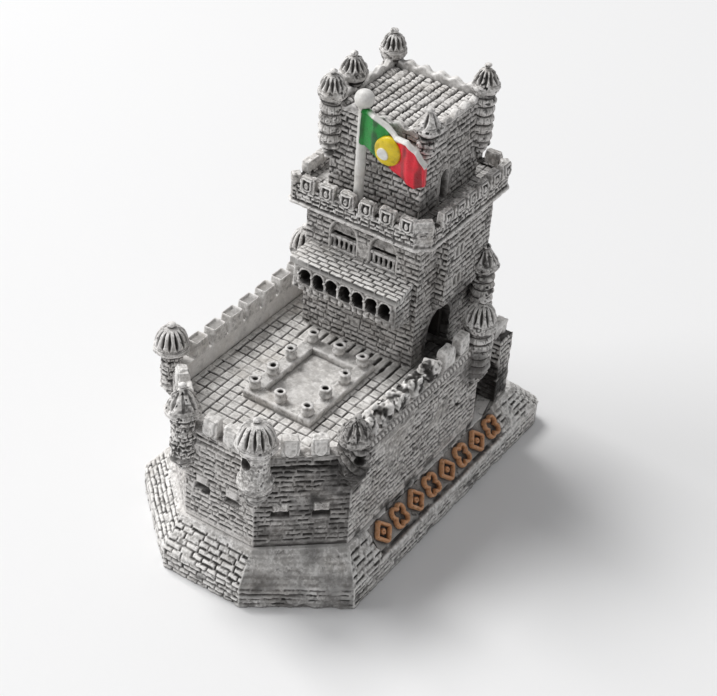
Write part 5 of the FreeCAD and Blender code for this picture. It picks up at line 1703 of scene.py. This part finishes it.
def make_flag():
    """Waving flag as a thick painted casting, unpainted along its upper edge."""
    columns, rows = 150, 90
    x = np.linspace(pole_axis[0] + 0.4, flag_high[0], columns)
    low, high, middle = flag_edges(x)
    s = (x - x[0]) / (x[-1] - x[0])
    v = np.linspace(0, 1, rows)[:, None]
    z = low + (high - low) * v
    wave = 0.42 * np.sin(2 * np.pi * (s * 2.3 + 0.10 * v)) * (0.4 + 0.6 * s)
    creased = np.stack([x + 0 * z, 0 * z, z * 0.25 + x * 0.1], -1)
    wave = wave + 0.26 * noise(creased, 1.6, 119) * (0.5 + s)
    y = middle + wave
    half = 0.62 + 0.35 * smooth(0.86, 0.97, v) + 0 * z
    px = np.broadcast_to(x, z.shape)
    front = np.stack([px, y - half, z], -1)
    rear = np.stack([px, y + half, z], -1)
    front[..., 1] += 0.10 * noise(front, 1.6, 120)
    rear[..., 1] += 0.10 * noise(rear, 1.6, 121)
    rounding = smooth(0, 0.07, v) * smooth(1, 0.93, v)
    front[..., 1] = y + (front[..., 1] - y) * (0.45 + 0.55 * rounding)
    rear[..., 1] = y + (rear[..., 1] - y) * (0.45 + 0.55 * rounding)
    points = np.vstack([front.reshape(-1, 3), rear.reshape(-1, 3)])
    count = rows * columns
    quads = [grid_quads(rows, columns), grid_quads(rows, columns)[:, ::-1] + count]
    ids = np.arange(count).reshape(rows, columns)
    for edge in (ids[0, ::-1], ids[-1], ids[:, 0], ids[::-1, -1]):
        quads.append(np.stack([edge[:-1], edge[1:], edge[1:] + count, edge[:-1] + count], -1))
    green, red = np.array([0.003, 0.290, 0.035]), np.array([0.80, 0.006, 0.030])
    bare = np.array([0.80, 0.79, 0.76])
    split = smooth(-0.25, 0.25, points[:, 0] - (x[0] + 0.46 * (x[-1] - x[0])) - 0.5 * noise(points, 2.0, 122))
    colour = green * (1 - split[:, None]) + red * split[:, None]
    along = np.tile((s + 0 * z).ravel(), 2)
    # painted shade: darker bands across the flag standing for the shading of its folds
    fold_shade = np.sin(2 * np.pi * (along * 4.2 + 0.3)) + 0.7 * noise(points, 2.2, 118)
    colour = colour * (1 - 0.62 * smooth(0.1, 1.0, fold_shade))[:, None]
    below_top = np.tile(((1 - v) * (high - low)).ravel(), 2)
    bare_edge = smooth(0.95, 0.55, below_top + 0.50 * noise(points, 1.8, 123))
    bare_edge = bare_edge * smooth(x[0] + 1.0, x[0] + 3.0, points[:, 0])
    colour = colour * (1 - bare_edge[:, None]) + bare * bare_edge[:, None]
    return make_mesh("painted_flag", points, np.vstack(quads), (), np.zeros(len(points)), colour)


place(make_flag(), "flag_enamel", FLAG, "flag")

boss_low, boss_high = span("flag_boss")
boss_c = (boss_low + boss_high) / 2
boss_r = float(boss_high[0] - boss_low[0]) / 2


def make_boss():
    """Plain raised disc on the flag with a plain pale spot."""
    rings, around = 34, 96
    theta = np.arange(around) / around * 2 * np.pi
    f = np.linspace(0.02, 1, rings)[:, None]
    wobble = 1 + 0.025 * np.sin(2 * theta + 0.7) + 0.012 * np.sin(5 * theta)
    x = boss_c[0] + boss_r * 0.98 * f * np.cos(theta) * wobble
    z = boss_c[2] + boss_r * 1.06 * f * np.sin(theta) * wobble
    dome = 0.85 * np.sqrt(np.clip(1 - f ** 2.6, 0, 1)) * np.ones_like(x)
    y = np.full(x.shape, boss_low[1] + 0.75)
    spot_x, spot_z = boss_c[0] - 0.75, boss_c[2] - 0.55
    lobes = 0.07 * np.sin(3 * np.arctan2(z - spot_z, x - spot_x))
    spot = smooth(1.62, 1.38, np.hypot(x - spot_x, (z - spot_z) * 1.10) + lobes)
    p = np.stack([x, y - dome - 0.22 * spot, z], -1)
    p[..., 1] += 0.09 * noise(p, 1.1, 130)
    back = np.stack([x[-1], np.full(around, boss_high[1] + 0.9), z[-1]], -1)
    points = np.vstack([p.reshape(-1, 3), back])
    quads = grid_quads(rings, around, True)[:, ::-1]
    edge = (rings - 1) * around + np.arange(around)
    far = edge + around
    sides = np.stack([edge, far, np.roll(far, -1), np.roll(edge, -1)], -1)
    caps = [np.arange(around), far[::-1]]
    yellow, white = np.array([0.80, 0.60, 0.010]), np.array([0.80, 0.80, 0.77])
    spot = spot.reshape(-1, 1)
    tint = np.vstack([yellow * (1 - spot) + white * spot, np.tile(yellow, (around, 1))])
    streak = smooth(0.2, 0.7, noise(points, 1.0, 131))[:, None] * (tint[:, 2:3] < 0.2)
    tint = tint * (1 - 0.30 * streak)
    return make_mesh("flag_disc", points, np.vstack([quads, sides]), caps, np.zeros(len(points)), tint)


place(make_boss(), "boss_enamel", FLAG, "flag_boss")


# ------------------------------------------------------------------ ornament strip
def sweep(path, to_space, width, height, seed):
    """Rounded raised stroke along a flat closed path; to_space turns strip coordinates into points."""
    path = np.array(path, float)
    tangent = np.roll(path, -1, axis=0) - np.roll(path, 1, axis=0)
    tangent /= np.linalg.norm(tangent, axis=1)[:, None]
    side = np.stack([tangent[:, 1], -tangent[:, 0]], 1)
    section = [(-0.5, -0.3), (-0.52, 0.35), (-0.38, 0.8), (-0.15, 1.0), (0.15, 1.0), (0.38, 0.8), (0.52, 0.35),
               (0.5, -0.3)]
    rings = []
    for a, b in section:
        flat = path + side * (a * width)
        rings.append(to_space(flat[:, 0], flat[:, 1], np.full(len(path), b * height)))
    grid = np.stack(rings, 1)
    grid = grid + 0.09 * noise(grid, 0.9, seed)[..., None] * np.array([0.6, 0.5, 0.6])
    rows, columns = grid.shape[:2]
    j, i = np.meshgrid(np.arange(rows), np.arange(columns), indexing="ij")
    here, after, nxt = j * columns, ((j + 1) % rows) * columns, (i + 1) % columns
    quads = np.stack([here + i, after + i, after + nxt, here + nxt], -1).reshape(-1, 4)
    return grid.reshape(-1, 3), quads, np.zeros(rows * columns)


panel_points = node_points("ornament_panel")
edge_a = panel_points[np.argmax(panel_points[:, 0])]
edge_b = panel_points[np.argmax(panel_points[:, 2])]
slope_up = np.array([edge_b[0] - edge_a[0], 0, edge_b[2] - edge_a[2]])
slope_up /= np.linalg.norm(slope_up)
slope_out = np.array([slope_up[2], 0, -slope_up[0]])
centres = []
for points in islands("ornament_motifs"):
    middle = (points.min(0) + points.max(0)) / 2
    if not any(abs(middle[1] - c[1]) < 2 for c in centres):
        centres.append(middle)
centres.sort(key=lambda c: c[1])

parts = []
for number, centre in enumerate(centres):
    origin = centre - slope_out * ((centre - edge_a) @ slope_out)

    def on_slope(a, b, c, origin=origin):
        flat = origin + a[..., None] * np.array([0, 1.0, 0]) + b[..., None] * slope_up
        return flat + c[..., None] * slope_out

    if number % 2 == 0:
        corners = [(-2.5, 0), (0, -2.6), (2.5, 0), (0, 2.6)]
        path = []
        for k in range(4):
            a, b = np.array(corners[k]), np.array(corners[(k + 1) % 4])
            path += [a + (b - a) * f for f in np.linspace(0.06, 0.94, 14)]
        parts.append(sweep(path, on_slope, 0.85, 1.25, 140 + number))
        around = np.linspace(0, 2 * math.pi, 20, endpoint=False)
        ring = [(0.42 * math.cos(a), 0.42 * math.sin(a)) for a in around]
        parts.append(sweep(ring, on_slope, 0.72, 0.95, 150 + number))
    else:
        ring = []
        for a in np.linspace(0, 2 * math.pi, 88, endpoint=False):
            radius = 1.45 + 1.15 * abs(math.sin(2 * a)) ** 0.8
            ring.append((radius * math.cos(a) * 0.96, radius * math.sin(a) * 1.05))
        parts.append(sweep(ring, on_slope, 0.85, 1.25, 160 + number))
place(stack("ornament_strokes", parts), "motif_copper_paint", COPPER, "ornament_motifs")

# ------------------------------------------------------------------ nodes that stay as they are
# the keep's core takes the near-black resin, painted shade wherever it shows
for kept, material in (("ornament_panel", STRIP), ("bastion_core", WALL), ("keep_core", GLOOM)):
    paint_node(kept, material)

# ------------------------------------------------------------------ floor, light and camera
floor_material, tree, shader, coordinate = new_material("paper_floor")
tone = texture(tree, coordinate, 3.0, 2.0)
paper = blend(tree, ramp(tree, tone, 0.3, 0.7), (0.86, 0.86, 0.865), (0.88, 0.88, 0.885))
tree.links.new(paper, shader.inputs["Base Color"])
shader.inputs["Roughness"].default_value = 0.75
floor_mesh = bpy.data.meshes.new("floor")
floor_mesh.from_pydata([(-3, -3, 0), (3, -3, 0), (3, 3, 0), (-3, 3, 0)], [], [(0, 1, 2, 3)])
floor = bpy.data.objects.new("floor", floor_mesh)
floor_mesh.materials.append(floor_material)
bpy.context.scene.collection.objects.link(floor)

world = bpy.data.worlds.new("studio")
bpy.context.scene.world = world
world.use_nodes = True
background = world.node_tree.nodes["Background"]
background.inputs["Color"].default_value = (0.985, 0.99, 1.0, 1.0)
background.inputs["Strength"].default_value = 0.36


def lamp(name, place_at, size, power, colour=(1, 1, 1), target=(0, 0, 0.04)):
    """Soft square lamp aimed at a point; positions in metres."""
    data = bpy.data.lights.new(name, "AREA")
    data.size = size
    data.energy = power
    data.color = colour
    made = bpy.data.objects.new(name, data)
    made.location = place_at
    made.rotation_euler = (Vector(target) - Vector(place_at)).to_track_quat("-Z", "Y").to_euler()
    bpy.context.scene.collection.objects.link(made)


lamp("window_light", (-1.35, 0.20, 2.20), 0.90, 40.0, (1.0, 0.995, 0.985))
lamp("front_fill", (-1.80, -1.00, 1.25), 1.3, 23.0)

camera_data = bpy.data.cameras.new("camera")
camera_data.sensor_width = 36.0
camera_data.lens = 86.679665         # millimetres, like the sensor width
camera_data.clip_start = 0.01
camera_data.clip_end = 20.0
camera = bpy.data.objects.new("camera", camera_data)
bpy.context.scene.collection.objects.link(camera)
azimuth, elevation, roll = math.radians(31.63), math.radians(36.99), math.radians(4.01)
aim, distance = Vector((-0.00076, 0.01143, 0.030)), 0.41026      # metres
level = math.cos(elevation)
back = Vector((math.sin(azimuth) * level, -math.cos(azimuth) * level, math.sin(elevation)))
right = Vector((math.cos(azimuth), math.sin(azimuth), 0))
up = back.cross(right)
turned_right = right * math.cos(roll) + up * math.sin(roll)
turned_up = up * math.cos(roll) - right * math.sin(roll)
spot = aim + back * distance
camera.matrix_world = Matrix([(*axes, at) for *axes, at in zip(turned_right, turned_up, back, spot)]
                             + [(0, 0, 0, 1)])
bpy.context.scene.camera = camera
bpy.context.scene.view_settings.view_transform = "Standard"
